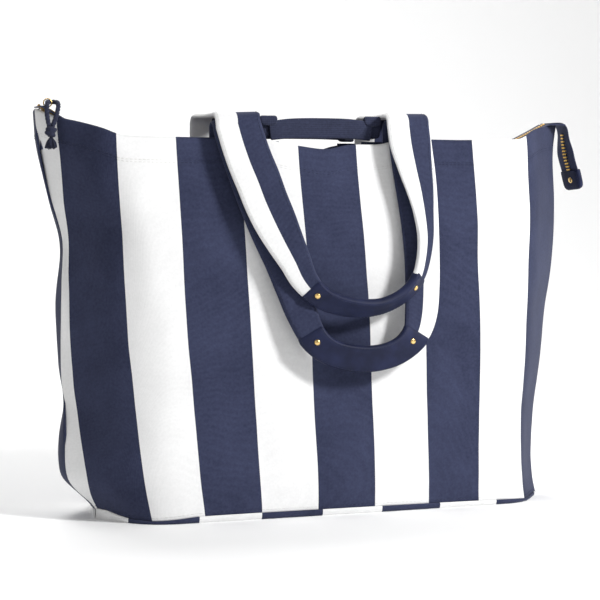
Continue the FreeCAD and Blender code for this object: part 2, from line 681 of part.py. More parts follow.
def handle(word):
    """The moving loop of one shoulder handle with its grip wrap and rivets, drawn around the
    axis of its fold and hung over the front."""
    out, level, drop = value(f"{word}_axis_out"), value(f"{word}_axis_level"), f"{word}_drop"
    grip_left, grip_right = f"{word}_grip_left", f"{word}_grip_right"
    base = FreeCAD.Placement(V(0, -out, level), FreeCAD.Rotation(V(1, 0, 0), -value("hang_slope")))
    base = base.multiply(FreeCAD.Placement(V(0, -value(f"{word}_fold"), 0), FreeCAD.Rotation()))
    loop = new_body(f"{word}_handle_strap")
    pad(loop, polygon(loop, "XZ_Plane", handle_outline(word)), "strap_thick", middle=True)
    rivets = [(f"{grip_left} + grip_rivet", f"grip_height / 2 - {drop}"),
              (f"{grip_right} - grip_rivet", f"grip_height / 2 - {drop}")]
    drill(loop, rivets)
    loop.Placement = base

    wrap = new_body(f"{word}_handle_grip")
    around = "wrap_gap + wrap"
    low, high = f"0 - {drop}", f"0 - {drop} + grip_height"
    outer = rectangle(wrap, "YZ_Plane", f"0 - strap_thick / 2 - ( {around} )", f"{low} - ( {around} )",
                      f"strap_thick / 2 + {around}", f"{high} + {around}", f"{grip_left} + grip_start")
    pad(wrap, outer, f"{grip_right} - {grip_left} - 2 * grip_start")
    core = rectangle(wrap, "YZ_Plane", "0 - strap_thick / 2 - wrap_gap", f"{low} - wrap_gap",
                     "strap_thick / 2 + wrap_gap", f"{high} + wrap_gap")
    pocket(wrap, core, middle=True)
    drill(wrap, rivets)
    wrap.Placement = base
    rivet(f"{word}_grip_rivets", value(f"strap_thick / 2 + {around}"),
          [(value(across), value(up)) for across, up in rivets], base)


def fold_arch(centre_y, centre_z, radius, first, last):
    """Two strap folds about an axis along X, over both strap places: arches from angle first
    to last, in degrees from the bag's back, counted upwards."""
    thick, width = value("strap_thick"), value("strap")
    # turns X to Y, Y to Z and Z to X
    upright = FreeCAD.Rotation(V(1, 1, 1), 120)
    arches = []
    for sign in (-1, 1):
        outer = Part.makeCylinder(radius + thick / 2, width, V(), V(0, 0, 1), last - first)
        arch = outer.cut(Part.makeCylinder(radius - thick / 2, width))
        arch.rotate(V(), V(0, 0, 1), first)
        start = V(sign * value("strap_side") - width / 2, centre_y, centre_z)
        arch.Placement = FreeCAD.Placement(start, upright).multiply(arch.Placement)
        arches.append(arch)
    return arches


def strap_boxes(label, y_middle, low, high, centre, half_width, thick):
    """Two upright strap ends, one each side of the bag's centre."""
    ends = []
    for number, sign in enumerate((-1, 1)):
        end = doc.addObject("Part::Box", f"{label}_{number}")
        for name, text in (("Length", f"2 * ( {half_width} )"), ("Width", thick),
                           ("Height", f"{high} - ( {low} )")):
            setattr(end, name, value(text))
            end.setExpression(name, bound(text))
        for axis, text in (("x", f"{sign} * ( {centre} ) - ( {half_width} )"),
                           ("y", f"{y_middle} - {thick} / 2"), ("z", low)):
            end.setExpression(f"Placement.Base.{axis}", bound(text))
        ends.append(end)
    group = doc.addObject("Part::Compound", label)
    group.Label = label
    group.Links = ends
    return group


handle("front")
handle("back")

for word, root_out in (("front", "0 - front_axis_out + front_fold"), ("back", "back_root_out")):
    strap_boxes(f"{word}_strap_ends", root_out, f"{word}_axis_level - root_gap - root_depth",
                f"{word}_axis_level - root_gap", "strap_side", "strap / 2", "strap_thick")

HANG = value("180 - hang_slope")
for label, out, word, first, last in (
        ("front_handle_folds", "0 - front_axis_out", "front", 0, HANG),
        ("back_handle_root_folds", "back_root_out - back_fold", "back", 0, 90),
        ("back_handle_folds", "0 - back_axis_out", "back", 90, HANG)):
    shape_node(label, Part.Compound(fold_arch(
        value(out), value(f"{word}_axis_level"), value(f"{word}_fold"), first, last)))

# the back handle's straps lie across the top of the bag, from its back hem to its front
strap_boxes("back_handle_bridges", "( back_root_out - back_fold - back_axis_out ) / 2",
            "back_axis_level + back_fold - strap_thick / 2",
            "back_axis_level + back_fold + strap_thick / 2", "strap_side", "strap / 2",
            "( back_root_out - back_fold + back_axis_out )")


# ---------------------------------------------------------------- grab handles
def grab_handle(word, side):
    """A low arch of webbing between the strap legs, turning about a line along the hem, and
    its two sewn ends inside the hem."""
    arch = new_body(f"{word}_grab_handle")
    span, rise, half, foot = "grab_span", "grab_rise", "webbing / 2", "grab_gap"
    outline = [
        (f"0 - {span} - {half} + 4", foot),
        (f"0 - {span} + 2", f"{rise} - 7"),
        (f"0 - {span} + 14", f"{rise} - 2"),
        ("-22", rise + " + 1"),
        ("22", rise + " + 1"),
        (f"{span} - 14", f"{rise} - 2"),
        (f"{span} - 2", f"{rise} - 7"),
        (f"{span} + {half} - 4", foot),
        (f"{span} - {half} + 1", foot),
        (f"{span} - {half} - 7", f"{rise} - webbing + 4"),
        ("0", f"{rise} - webbing + 6"),
        (f"0 - {span} + {half} + 7", f"{rise} - webbing + 4"),
        (f"0 - {span} + {half} - 1", foot),
    ]
    pad(arch, polygon(arch, "XZ_Plane", outline), "webbing_thick", middle=True)
    turn = value("grab_lean") if side > 0 else 0
    place(arch, y=side * value("grab_out"), z=value("grab_axis"), angle=-turn)
    strap_boxes(f"{word}_grab_ends", f"{side} * grab_out",
                "grab_axis - grab_root_gap - grab_root", "grab_axis - grab_root_gap",
                "grab_span - 1", "webbing / 2 - 1", "webbing_thick")


for word, side in SIDES:
    grab_handle(word, side)


# ---------------------------------------------------------------- checks and export
NODES = []
for word, _ in SIDES:
    NODES += [f"{word}_{piece}" for piece in (
        "panel", "lining", "facing", "zip_tape", "zip_teeth", "zip_gusset", "strap_ends",
        "handle_strap", "handle_folds", "handle_grip", "grip_rivets", "grab_handle", "grab_ends")]
NODES += [
    "base_panel", "base_board", "base_lining", "left_seam_binding", "right_seam_binding",
    "zip_slider", "pull_ring", "pull_rope", "pull_knot", "pull_tuft", "zip_tail_fold",
    "zip_tail_tape", "zip_tail_teeth", "zip_end_tab", "zip_tab_rivet",
    "back_handle_bridges", "back_handle_root_folds",
]

doc.recompute()
for item in doc.Objects:
    if {"Invalid", "Error"} & set(item.State):
        raise SystemExit(f"{item.Label} did not recompute: {item.State}")

os.makedirs("parts", exist_ok=True)
for name in NODES:
    shape = doc.getObjectsByLabel(name)[0].Shape
    if shape.isNull() or not shape.isValid():
        raise SystemExit(f"{name} has no valid shape")
    shape.exportStep(f"parts/{name}.step")
    box = shape.BoundBox
    print(f"{name:24} {len(shape.Solids)} solid(s) {shape.Volume / 1000:8.2f} cm3  "
          f"x {box.XMin:7.1f} {box.XMax:7.1f}  y {box.YMin:7.1f} {box.YMax:7.1f}  "
          f"z {box.ZMin:7.1f} {box.ZMax:7.1f}")
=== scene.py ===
"""The looks of a striped canvas weekender bag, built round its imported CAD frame.

Lengths are metres, in the frame of the CAD model: X along the bag, its front towards -Y, Z up.
MM turns the millimetres that the sizes are written in into metres.
"""
import math
import random

import bpy
import numpy as np
from mathutils import Matrix, Vector, noise


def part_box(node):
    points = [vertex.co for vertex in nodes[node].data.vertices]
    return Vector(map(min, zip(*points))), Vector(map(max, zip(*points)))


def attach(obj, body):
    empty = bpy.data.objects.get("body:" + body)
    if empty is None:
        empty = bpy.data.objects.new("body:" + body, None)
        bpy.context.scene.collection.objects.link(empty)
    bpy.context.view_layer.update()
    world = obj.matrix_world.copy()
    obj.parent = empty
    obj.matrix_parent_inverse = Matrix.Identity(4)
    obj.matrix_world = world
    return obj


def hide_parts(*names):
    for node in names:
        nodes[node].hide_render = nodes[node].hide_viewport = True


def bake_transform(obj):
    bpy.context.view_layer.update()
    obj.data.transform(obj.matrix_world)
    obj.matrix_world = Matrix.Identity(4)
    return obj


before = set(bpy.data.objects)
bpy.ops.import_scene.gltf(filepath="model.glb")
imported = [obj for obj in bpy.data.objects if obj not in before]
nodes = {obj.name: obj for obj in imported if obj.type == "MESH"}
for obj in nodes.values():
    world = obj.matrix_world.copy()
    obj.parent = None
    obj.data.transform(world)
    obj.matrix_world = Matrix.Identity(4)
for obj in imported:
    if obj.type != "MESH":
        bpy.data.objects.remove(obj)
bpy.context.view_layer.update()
MM = 0.001
STRIPE = 63.5 * MM
ALONG, INSIDE, OUTSIDE, UP = (Vector(v) for v in ((1, 0, 0), (0, 1, 0), (0, -1, 0), (0, 0, 1)))


# ---------------------------------------------------------------- small helpers
def smooth(value):
    """0 below 0, 1 above 1 and an even slope between."""
    value = min(1.0, max(0.0, value))
    return value * value * (3 - 2 * value)


def between(stops, where):
    """The value at where of a smooth line through stops, pairs of place and value."""
    places = [place for place, _ in stops]
    values = np.array([np.atleast_1d(value) for _, value in stops], float)
    if where <= places[0]:
        return values[0]
    if where >= places[-1]:
        return values[-1]
    k = max(i for i, place in enumerate(places) if place <= where)
    k = min(k, len(places) - 2)
    span = places[k + 1] - places[k]
    t = (where - places[k]) / span
    slopes = []
    for j in (k, k + 1):
        low, high = max(0, j - 1), min(len(places) - 1, j + 1)
        slopes.append((values[high] - values[low]) / (places[high] - places[low]) * span)
    start, end = values[k], values[k + 1]
    return (start * (2 * t**3 - 3 * t**2 + 1) + slopes[0] * (t**3 - 2 * t**2 + t)
            + end * (3 * t**2 - 2 * t**3) + slopes[1] * (t**3 - t**2))


def arc_lengths(points):
    """The distance along a line from its start to each of its points."""
    return np.concatenate([[0], np.cumsum(np.linalg.norm(np.diff(points, axis=0), axis=1))])


def values_at(where, along, values):
    """The rows of values, which are known at the places along, read at where."""
    return np.stack([np.interp(where, along, column) for column in values.T], -1)


def resample(points, marks):
    """Points of a line at the given distances along it."""
    points = np.array(points, float)
    return values_at(marks, arc_lengths(points), points)


def length_of(points):
    return float(np.linalg.norm(np.diff(np.array(points, float), axis=0), axis=1).sum())


def new_mesh(name, parts, materials, smooth_faces=True):
    """A mesh object made of parts. Each part is its vertices, its faces and their place in
    materials, which is one number or a list with one for each face."""
    vertices, faces, which = [], [], []
    for part_vertices, part_faces, index in parts:
        base = len(vertices)
        vertices += [tuple(v) for v in part_vertices]
        faces += [[base + k for k in face] for face in part_faces]
        which += [index] * len(part_faces) if isinstance(index, int) else list(index)
    mesh = bpy.data.meshes.new(name)
    mesh.from_pydata(vertices, [], faces)
    for material in materials:
        mesh.materials.append(material)
    mesh.polygons.foreach_set("material_index", which)
    mesh.polygons.foreach_set("use_smooth", [smooth_faces] * len(mesh.polygons))
    mesh.update()
    mesh.validate()
    piece = bpy.data.objects.new(name, mesh)
    bpy.context.scene.collection.objects.link(piece)
    return piece


def modified(piece, kind, **settings):
    """Applies one modifier to the piece at once."""
    modifier = piece.modifiers.new(kind.lower(), kind)
    for name, value in settings.items():
        setattr(modifier, name, value)
    graph = bpy.context.evaluated_depsgraph_get()
    mesh = bpy.data.meshes.new_from_object(piece.evaluated_get(graph), depsgraph=graph)
    piece.modifiers.clear()
    old, piece.data = piece.data, mesh
    bpy.data.meshes.remove(old)


def belongs(piece, body, slot, *replaced):
    """Ties a piece to its body and hides the CAD nodes that it replaces. slot is not used."""
    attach(piece, body)
    if replaced:
        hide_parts(*replaced)


# ---------------------------------------------------------------- materials
# A full turn, as the scale of a wave texture counts it.
WAVE_TURN = 6.2832


def add_node(tree, kind, values=None, vector=None):
    """A new shader node with values for its inputs, read at the places that vector gives."""
    node = tree.nodes.new("ShaderNode" + kind)
    for name, value in (values or {}).items():
        node.inputs[name].default_value = value
    if vector is not None:
        tree.links.new(vector, node.inputs["Vector"])
    return node


def new_material(name, values):
    """A material, its node tree, its shader set to values, and the places on its piece."""
    material = bpy.data.materials.new(name)
    material.use_nodes = True
    tree = material.node_tree
    shader = tree.nodes["Principled BSDF"]
    for socket, value in values.items():
        shader.inputs[socket].default_value = value
    return material, tree, shader, add_node(tree, "TexCoord").outputs["Object"]


def add_ramp(tree, shader, tone, low, dark, high, light):
    """Colours a shader from dark, where tone is at low, to light, where it is at high."""
    ramp = add_node(tree, "ValToRGB")
    for stop, position, colour in zip(ramp.color_ramp.elements, (low, high), (dark, light)):
        stop.position = position
        stop.color = (*colour, 1)
    tree.links.new(tone, ramp.inputs["Fac"])
    tree.links.new(ramp.outputs["Color"], shader.inputs["Base Color"])


def add_bump(tree, shader, height, strength, distance):
    """Raises a shader's surface with height, by up to distance millimetres."""
    bump = add_node(tree, "Bump", {"Strength": strength, "Distance": distance * MM})
    tree.links.new(height, bump.inputs["Height"])
    tree.links.new(bump.outputs["Normal"], shader.inputs["Normal"])


def add_scuffs(tree, shader, tone, low, high):
    """Varies a shader's roughness with tone, from low to high."""
    spread = add_node(tree, "MapRange", {"To Min": low, "To Max": high})
    tree.links.new(tone, spread.inputs["Value"])
    tree.links.new(spread.outputs["Result"], shader.inputs["Roughness"])


def cloth_material(name, colour, weave=1.1, depth=0.25, mottle=0.10, fade=None):
    """Woven cloth: threads both ways as bump, colour that varies by thread and in soft patches.
    weave is the thread pitch in millimetres, fade the colour of the worn patches."""
    material, tree, shader, place = new_material(name, {
        "Roughness": 0.85, "Sheen Weight": 0.08, "Sheen Roughness": 0.5,
        "Specular IOR Level": 0.25})

    def threads(direction):
        wave = add_node(tree, "TexWave", {"Scale": 1 / (weave * MM) / WAVE_TURN * 2, "Detail": 2,
                                          "Distortion": 1.2, "Detail Scale": 1.5}, place)
        wave.wave_type = "BANDS"
        wave.bands_direction = direction
        return wave.outputs["Fac"]

    def mixed(kind, one, two):
        node = add_node(tree, "Math")
        node.operation = kind
        for socket, value in enumerate((one, two)):
            if isinstance(value, float):
                node.inputs[socket].default_value = value
            else:
                tree.links.new(value, node.inputs[socket])
        return node.outputs[0]

    across = mixed("MAXIMUM", threads("X"), threads("Y"))
    cloth = mixed("MULTIPLY", mixed("ADD", threads("Z"), across), 0.5)
    patches = add_node(tree, "TexNoise", {"Scale": 14, "Detail": 6, "Roughness": 0.62}, place)
    slubs = add_node(tree, "TexNoise", {"Scale": 420, "Detail": 3}, place).outputs["Fac"]
    grain = mixed("ADD", mixed("MULTIPLY", cloth, 0.18), mixed("MULTIPLY", slubs, 0.35))
    tone = mixed("ADD", mixed("MULTIPLY", patches.outputs["Fac"], 0.6), grain)
    worn = fade or [min(1, c * (1 + 2.2 * mottle) + 0.04 * mottle) for c in colour]
    add_ramp(tree, shader, tone, 0.38, [c * (1 - 2.0 * mottle) for c in colour], 0.78, worn)
    add_bump(tree, shader, mixed("ADD", cloth, mixed("MULTIPLY", slubs, 0.6)), depth, 0.3)
    return material


def metal_material(name, colour, rough=0.22):
    """Polished metal with faint scuffs."""
    material, tree, shader, place = new_material(
        name, {"Base Color": (*colour, 1), "Metallic": 1})
    scuffs = add_node(tree, "TexNoise", {"Scale": 900, "Detail": 4}, place).outputs["Fac"]
    add_scuffs(tree, shader, scuffs, rough * 0.7, rough * 1.7)
    return material


def leather_material(name, colour, rough):
    """Smooth leather with a fine pebble grain."""
    material, tree, shader, place = new_material(name, {"Specular IOR Level": 0.18})
    grain = add_node(tree, "TexVoronoi", {"Scale": 1100}, place).outputs["Distance"]
    patches = add_node(tree, "TexNoise", {"Scale": 60, "Detail": 5}, place).outputs["Fac"]
    dark, light = ([c * share for c in colour] for share in (0.75, 1.3))
    add_ramp(tree, shader, patches, 0.35, dark, 0.7, light)
    add_scuffs(tree, shader, patches, rough * 0.8, rough * 1.3)
    add_bump(tree, shader, grain, 0.2, 0.15)
    return material


NAVY = cloth_material("navy_canvas", (0.018, 0.023, 0.059), fade=(0.040, 0.048, 0.100))
WHITE = cloth_material("white_canvas", (0.80, 0.80, 0.80), mottle=0.03, depth=0.22,
                       fade=(0.87, 0.87, 0.87))
LINING = cloth_material("lining_cloth", (0.62, 0.60, 0.56), weave=0.7, mottle=0.05, depth=0.15)
BINDING = cloth_material("binding_tape", (0.70, 0.69, 0.66), weave=1.0, mottle=0.05)
WEBBING = cloth_material("navy_webbing", (0.015, 0.019, 0.045), weave=2.2, depth=0.7, mottle=0.2,
                         fade=(0.032, 0.038, 0.078))
TAPE = cloth_material("zip_tape_cloth", (0.020, 0.025, 0.062), weave=0.8, depth=0.3, mottle=0.15,
                      fade=(0.05, 0.06, 0.12))
ROPE = cloth_material("rope_cotton", (0.012, 0.015, 0.036), weave=0.6, depth=0.5, mottle=0.25,
                      fade=(0.04, 0.045, 0.09))
THREAD_DARK = cloth_material("navy_thread", (0.020, 0.024, 0.060), weave=0.4, mottle=0.1)
THREAD_LIGHT = cloth_material("white_thread", (0.72, 0.72, 0.70), weave=0.4, mottle=0.05)
LEATHER = leather_material("navy_leather", (0.013, 0.017, 0.048), rough=0.5)
BRASS = metal_material("polished_brass", (0.86, 0.60, 0.24))
TEETH = metal_material("zip_teeth_brass", (0.72, 0.46, 0.12), rough=0.3)
BOARD = leather_material("stiffener_board", (0.03, 0.03, 0.035), rough=0.6)


# ---------------------------------------------------------------- camera
AZIMUTH = math.radians(18)
CAMERA_DISTANCE, CAMERA_HEIGHT = 2280 * MM, 331 * MM
LENS, SENSOR_WIDTH = 129, 36
SHIFT_X, SHIFT_Y = -0.0142, -0.1833


def make_camera():
    data = bpy.data.cameras.new("camera")
    data.lens, data.sensor_width = LENS, SENSOR_WIDTH
    data.shift_x, data.shift_y = SHIFT_X, SHIFT_Y
    camera = bpy.data.objects.new("camera", data)
    camera.location = (-CAMERA_DISTANCE * math.sin(AZIMUTH), -CAMERA_DISTANCE * math.cos(AZIMUTH),
                       CAMERA_HEIGHT)
    camera.rotation_euler = (math.radians(90), 0, -AZIMUTH)
    bpy.context.scene.collection.objects.link(camera)
    bpy.context.scene.camera = camera


make_camera()


# ---------------------------------------------------------------- rope pull
def spline_points(route, resolution=24):
    """The points of the smooth line that a route's points control."""
    data = bpy.data.curves.new("route", "CURVE")
    data.dimensions = "3D"
    data.resolution_u = resolution
    spline = data.splines.new("NURBS")
    spline.points.add(len(route) - 1)
    for point, place in zip(spline.points, route):
        point.co = (*place, 1)
    spline.order_u = 3
    spline.use_endpoint_u = True
    curve = bpy.data.objects.new("route", data)
    bpy.context.scene.collection.objects.link(curve)
    graph = bpy.context.evaluated_depsgraph_get()
    mesh = bpy.data.meshes.new_from_object(curve.evaluated_get(graph), depsgraph=graph)
    points = [v.co.copy() for v in mesh.vertices]
    bpy.data.meshes.remove(mesh)
    bpy.data.objects.remove(curve)
    return points


def tangents_of(points):
    """The unit direction of a line at each of its points."""
    last = len(points) - 1
    return [(points[min(last, k + 1)] - points[max(0, k - 1)]).normalized()
            for k in range(last + 1)]


def frames_along(points):
    """Side and up of a line at each of its points, turning as little as they can."""
    tangents = tangents_of([Vector(p) for p in points])
    side = tangents[0].orthogonal().normalized()
    found = []
    for tangent in tangents:
        side = (side - tangent * side.dot(tangent)).normalized()
        found.append((side, tangent.cross(side)))
    return found


def tube(points, radius, sides=10, closed_ends=True):
    """Vertices and faces of a round tube. radius is a number or one for each point."""
    radii = radius if hasattr(radius, "__len__") else [radius] * len(points)
    vertices, faces = [], []
    for point, (side, up), r in zip(points, frames_along(points), radii):
        for k in range(sides):
            angle = 2 * math.pi * k / sides
            vertices.append(Vector(point) + (side * math.cos(angle) + up * math.sin(angle)) * r)
    for row in range(len(points) - 1):
        for k in range(sides):
            a, b = row * sides + k, row * sides + (k + 1) % sides
            faces.append([a, b, b + sides, a + sides])
    if closed_ends:
        faces.append(list(range(sides))[::-1])
        faces.append([(len(points) - 1) * sides + k for k in range(sides)])
    return vertices, faces


RING_LOW, RING_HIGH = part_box("pull_ring")
RING = (RING_LOW + RING_HIGH) / 2
ROPE_DIAMETER = 5 * MM
ROPE_ROUTE = [
    (-1.2, 14.6, -24.0),
    (-2.8, 14.5, -17.4),
    (-3.4, 13.4, -9.4),
    (-2.4, 10.2, -2.2),
    (-0.6, 4.6, 0.4),
    (0.0, -1.8, 0.8),
    (2.5, -4.2, 1.0),
    (5.9, -4.2, 1.2),
    (8.4, -1.8, 1.0),
    (9.6, 4.0, 0.4),
    (9.4, 9.8, -2.6),
    (7.6, 13.4, -9.4),
    (5.0, 14.5, -17.4),
    (2.4, 14.6, -24.0),
]


def twisted_strands(line, strands=3, pitch=11 * MM):
    """The strands of a rope, wound round its line."""
    parts = []
    for strand in range(strands):
        walked, places = 0.0, []
        for k, (point, (side, up)) in enumerate(zip(line, frames_along(line))):
            if k:
                walked += (point - line[k - 1]).length
            angle = 2 * math.pi * (walked / pitch + strand / strands)
            offset = (side * math.cos(angle) + up * math.sin(angle)) * (ROPE_DIAMETER * 0.235)
            places.append(point + offset)
        parts.append((*tube(places, ROPE_DIAMETER * 0.27, 10), 0))
    return parts


def knot_rounds(centre, rounds=(22, -24, 8), steps=40):
    """Rounds of rope over each other, each tilted by its angle, and the core inside them."""
    parts = []
    for turn, tilt in enumerate(rounds):
        places = []
        for k in range(steps + 1):
            angle = 2 * math.pi * k / steps
            wobble = 0.25 * math.sin(3 * angle + turn)
            places.append(centre + Matrix.Rotation(math.radians(tilt), 3, "Y") @ Vector((
                3.6 * math.cos(angle), 3.1 * math.sin(angle), (turn - 1) * 2.3 + wobble)) * MM)
        parts.append((*tube(places, 2.3 * MM, 12, False), 0))
    core = [centre + Vector((0, 0, z)) * MM for z in (-5.2, -2.5, 0, 2.5, 5.6)]
    parts.append((*tube(core, [r * MM for r in (3.0, 4.2, 4.4, 4.2, 3.2)], 14), 0))
    return parts


def frayed_strands(top, bottom, strands=120, steps=6):
    """Thin strands that spread from top and hang down to about bottom."""
    draw = random.Random(7)
    parts = []
    for _ in range(strands):
        angle, spread = draw.uniform(0, 2 * math.pi), draw.uniform(0.1, 1) ** 0.5
        reach = spread * 6.4 * MM
        drop = draw.uniform(0.75, 1.0) * (top.z - bottom) * (1 - 0.18 * spread)
        out = Vector((math.cos(angle), math.sin(angle), 0))
        curl = Vector((draw.uniform(-1, 1), draw.uniform(-1, 1), 0)) * 0.8 * MM
        places = []
        for step in range(steps + 1):
            t = step / steps
            swell = math.sin(min(1, t * 1.25) * math.pi / 2)
            places.append(top + out * reach * swell * (0.55 + 0.45 * t) + curl * t * t
                          - Vector((0, 0, drop * t)))
        parts.append((*tube(places, 0.55 * MM, 5), 0))
    return parts


def rope_pull():
    """A twisted rope looped through the ring, its knot and its frayed end."""
    line = spline_points([RING + Vector((across, -out, up)) * MM for across, out, up in ROPE_ROUTE])
    rope = new_mesh("rope_pull", twisted_strands(line), [ROPE])
    low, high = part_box("pull_knot")
    knot = new_mesh("rope_knot", knot_rounds((low + high) / 2), [ROPE])
    low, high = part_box("pull_tuft")
    top = Vector(((low.x + high.x) / 2, (low.y + high.y) / 2, high.z + 2 * MM))
    tuft = new_mesh("rope_tuft", frayed_strands(top, low.z), [ROPE])
    for piece, node in ((rope, "pull_rope"), (knot, "pull_knot"), (tuft, "pull_tuft")):
        belongs(piece, "pull", "rope", node)
    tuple(line[0])


rope_pull()


# ---------------------------------------------------------------- the shell's form
# Each section: height, then in plan the left seam, the front left corner, the front right
# corner and the right seam, how far the front bulges, and how far the back stands out.
SECTIONS = [
    (0, (-234, -48, -202, -106, 215, -74, 256, -14, 2, 86)),
    (14, (-243, -44, -202, -106, 214, -73, 256, -6, 4, 88)),
    (28, (-256, -38, -202, -105, 214, -72, 257, 0, 5, 89)),
    (42, (-265, -35, -202, -103, 214, -70, 258, 4, 6, 90)),
    (90, (-268, -26, -203, -95, 214, -67, 264, 12, 8, 90)),
    (116, (-267, -17, -204, -88, 215, -67, 269, 14, 8, 88)),
    (150, (-268, -9, -205, -80, 217, -67, 274, 14, 9, 85)),
    (200, (-267, -4, -208, -71, 220, -66, 279, 14, 9, 80)),
    (240, (-265, 2, -212, -65, 224, -64, 285, 12, 8, 75)),
    (280, (-264, 5, -218, -61, 227, -62, 288, 10, 7, 69)),
    (320, (-277, 5, -224, -57, 230, -59, 288, 8, 4, 62)),
    (372, (-289, 4, -230, -50, 232, -52, 285, 5, 2, 51)),
    (412, (-293, 2, -226, -46, 228, -46, 289, 2, 0, 46)),
]
# Where the back panel turns away from the left seam, measured from the seam, by height.
FLARE = [(0, (2, 26)), (22, (-1, 26)), (40, (-7, 24)), (80, (-5, 22)), (116, (4, 22)),
         (150, (0, 22)), (219, (-3, 22)), (260, (1, 22)), (412, (0, 20))]
# How far the middle of the front's centre stripe stands to the right, by height.
MIDDLE = [(0, 11), (40, 10.5), (90, 9.5), (178, 9), (260, 7), (321, 5), (372, 3.5), (412, 3)]
# How far the outer stripe edges are pulled outwards along the front, left and right, by height.
PULL = [(0, (8, -7)), (20, (6, -7)), (40, (1, -6)), (60, (2, -5)), (96, (8, -3)),
        (178, (8, -1)), (219, (8, 0)), (260, (9, 1)), (300, (7, 3.5)), (372, (3, 4)), (412, (2, 3))]
# How far the stripe edge beside the right corner stands further right, by height.
EDGE_RIGHT = [(0, 0), (38, 0), (60, 1.5), (99, 5), (180, 5.5), (221, 4.5), (262, 3.5), (343, 2.5),
              (412, 1)]
# How far the stripes lean to the right towards the lower left corner, by height.
LEAN_LEFT = [(0, 17), (14, 14), (35, 10.5), (52, 9), (95, 6), (140, 3.5), (185, 0), (412, 0)]
# How much of each corner is rounded off, by height.
SOFTNESS = [(0, 40), (150, 42), (320, 34), (385, 12), (412, 8)]
# Where the back's corners stand, how much its flare is rounded off, and points in a plan line.
BACK_CORNER, FLARE_CUT, PLAN_POINTS = 214, 9, 260


def rounded(corner, before, after, cut):
    """A soft corner as points of a parabola."""
    corner, before, after = (np.array(p, float) for p in (corner, before, after))
    start = corner + (before - corner) / np.linalg.norm(before - corner) * cut
    end = corner + (after - corner) / np.linalg.norm(after - corner) * cut
    steps = np.linspace(0, 1, 15)[:, None]
    return list(start * (1 - steps) ** 2 + corner * 2 * steps * (1 - steps) + end * steps**2)


def outline(height, side):
    """The plan line of the front (side -1) or back (side 1) from the left seam to the right
    one, at a height in millimetres, the distance along it of each of its points, and the place
    of the panel's centre along it."""
    values = between(SECTIONS, height)
    left, front_left, front_right, right = (values[k:k + 2] for k in (0, 2, 4, 6))
    bulge, back = values[8:]
    cut = right_cut = float(between(SOFTNESS, height)[0])
    path = [left]
    if side < 0:
        before, corner_left, corner_right = left, front_left, front_right
        middle = float(between(MIDDLE, height)[0])
        right_cut *= 0.55 + 0.45 * smooth(height / 150)
    else:
        before = left + between(FLARE, height)
        corner_left, corner_right = np.array([-BACK_CORNER, back]), np.array([BACK_CORNER, back])
        middle = 0.0
        path += rounded(before, left, corner_left, FLARE_CUT)
    path += rounded(corner_left, before, corner_right, cut)
    path += rounded(corner_right, corner_left, right, right_cut)
    path.append(right)
    path = resample(path, np.linspace(0, length_of(path), PLAN_POINTS))
    wide = (corner_right[0] - corner_left[0]) / 2
    centre = (corner_right[0] + corner_left[0]) / 2
    for point in path:
        share = 1 - ((point[0] - centre) / wide) ** 2
        if share > 0:
            point[1] += side * bulge * share
    along = arc_lengths(path)
    flat = [k for k in range(len(path)) if abs(path[k][0] - middle) < 60]
    return path, along, float(np.interp(middle, path[flat, 0], along[flat]))


# Height of the hem along each panel, by distance from its centre: left of it is negative.
FRONT_HEM = [(-316, 414), (-286, 405), (-262, 400), (-236, 393), (-221, 387), (-150, 385),
             (-72, 384), (-50, 380), (-25, 376), (0, 373.5), (22, 378), (60, 379), (80, 384),
             (150, 384), (222, 386), (232, 389), (242, 393), (264, 398), (292, 401), (316, 402)]
BACK_HEM = [(-316, 414), (-250, 396), (-221, 387), (-80, 383), (-20, 379), (8, 374), (26, 373),
            (44, 379), (75, 380.5), (95, 380), (120, 382), (221, 385), (262, 386), (290, 393),
            (316, 402)]
# Height of the seam between the panels and the base.
FRONT_FOOT = [(-316, 9), (-296, 4.5), (-270, 2.2), (-245, 1.6), (-222, 1.8), (-195, 3), (-165, 5),
              (0, 5), (190, 3.5), (226, 1.8), (262, 1.2), (316, 2)]
BACK_FOOT = [(-316, 9), (-290, 6), (-250, 5), (0, 4), (316, 4)]
HEM, FOOT = {-1: FRONT_HEM, 1: BACK_HEM}, {-1: FRONT_FOOT, 1: BACK_FOOT}
# Along the hem: where the front's side panels begin, and where the seams are.
SIDE_AT, SEAM_AT, HEM_HEIGHT = 222, 316, 385
# A panel's grid: columns to each stripe, stripes each side of its centre, columns from there
# to the seam, and rows.
PER_STRIPE, STRIPES, SEAM_STEPS, ROWS = 8, 4.5, 5, 64


def folds(point, side):
    """How far the cloth stands in or out of its even form, from soft folds and dents."""
    x, _, z = point / MM
    low, wide = Vector((x / 95, side * 3.0, z / 150)), Vector((x / 36, side * 9.0, z / 60))
    fine = Vector((x / 14, side * 5.0, z / 22))
    edge = smooth(z / 60) * smooth((392 - z) / 50)
    return (noise.noise(low) * 4.2 + noise.noise(wide) * 1.5 + noise.noise(fine) * 0.35) * edge


# The dent under the front's hem and the waves of its lower left corner, in millimetres.
DENT_DEPTH, DENT_WIDTH, CORNER_WAVE = 4.5, 20, 3.0


def creases(x, z, side):
    """How far the pulls of the front push it in or out: under its hem and at a lower corner."""
    if side > 0:
        return 0.0
    # a dent that slants down from the left end of the hem
    across = (x + 262) * 0.82 + (z - 330) * 0.57
    dent = DENT_DEPTH * math.exp(-((across / DENT_WIDTH) ** 2))
    dent *= smooth((z - 250) / 60) * smooth((400 - z) / 30)
    # the lower left corner is pushed in and out
    wave = CORNER_WAVE * math.sin((z - 20) / 17)
    return wave * smooth((-190 - x) / 50) * smooth((150 - z) / 60) - dent


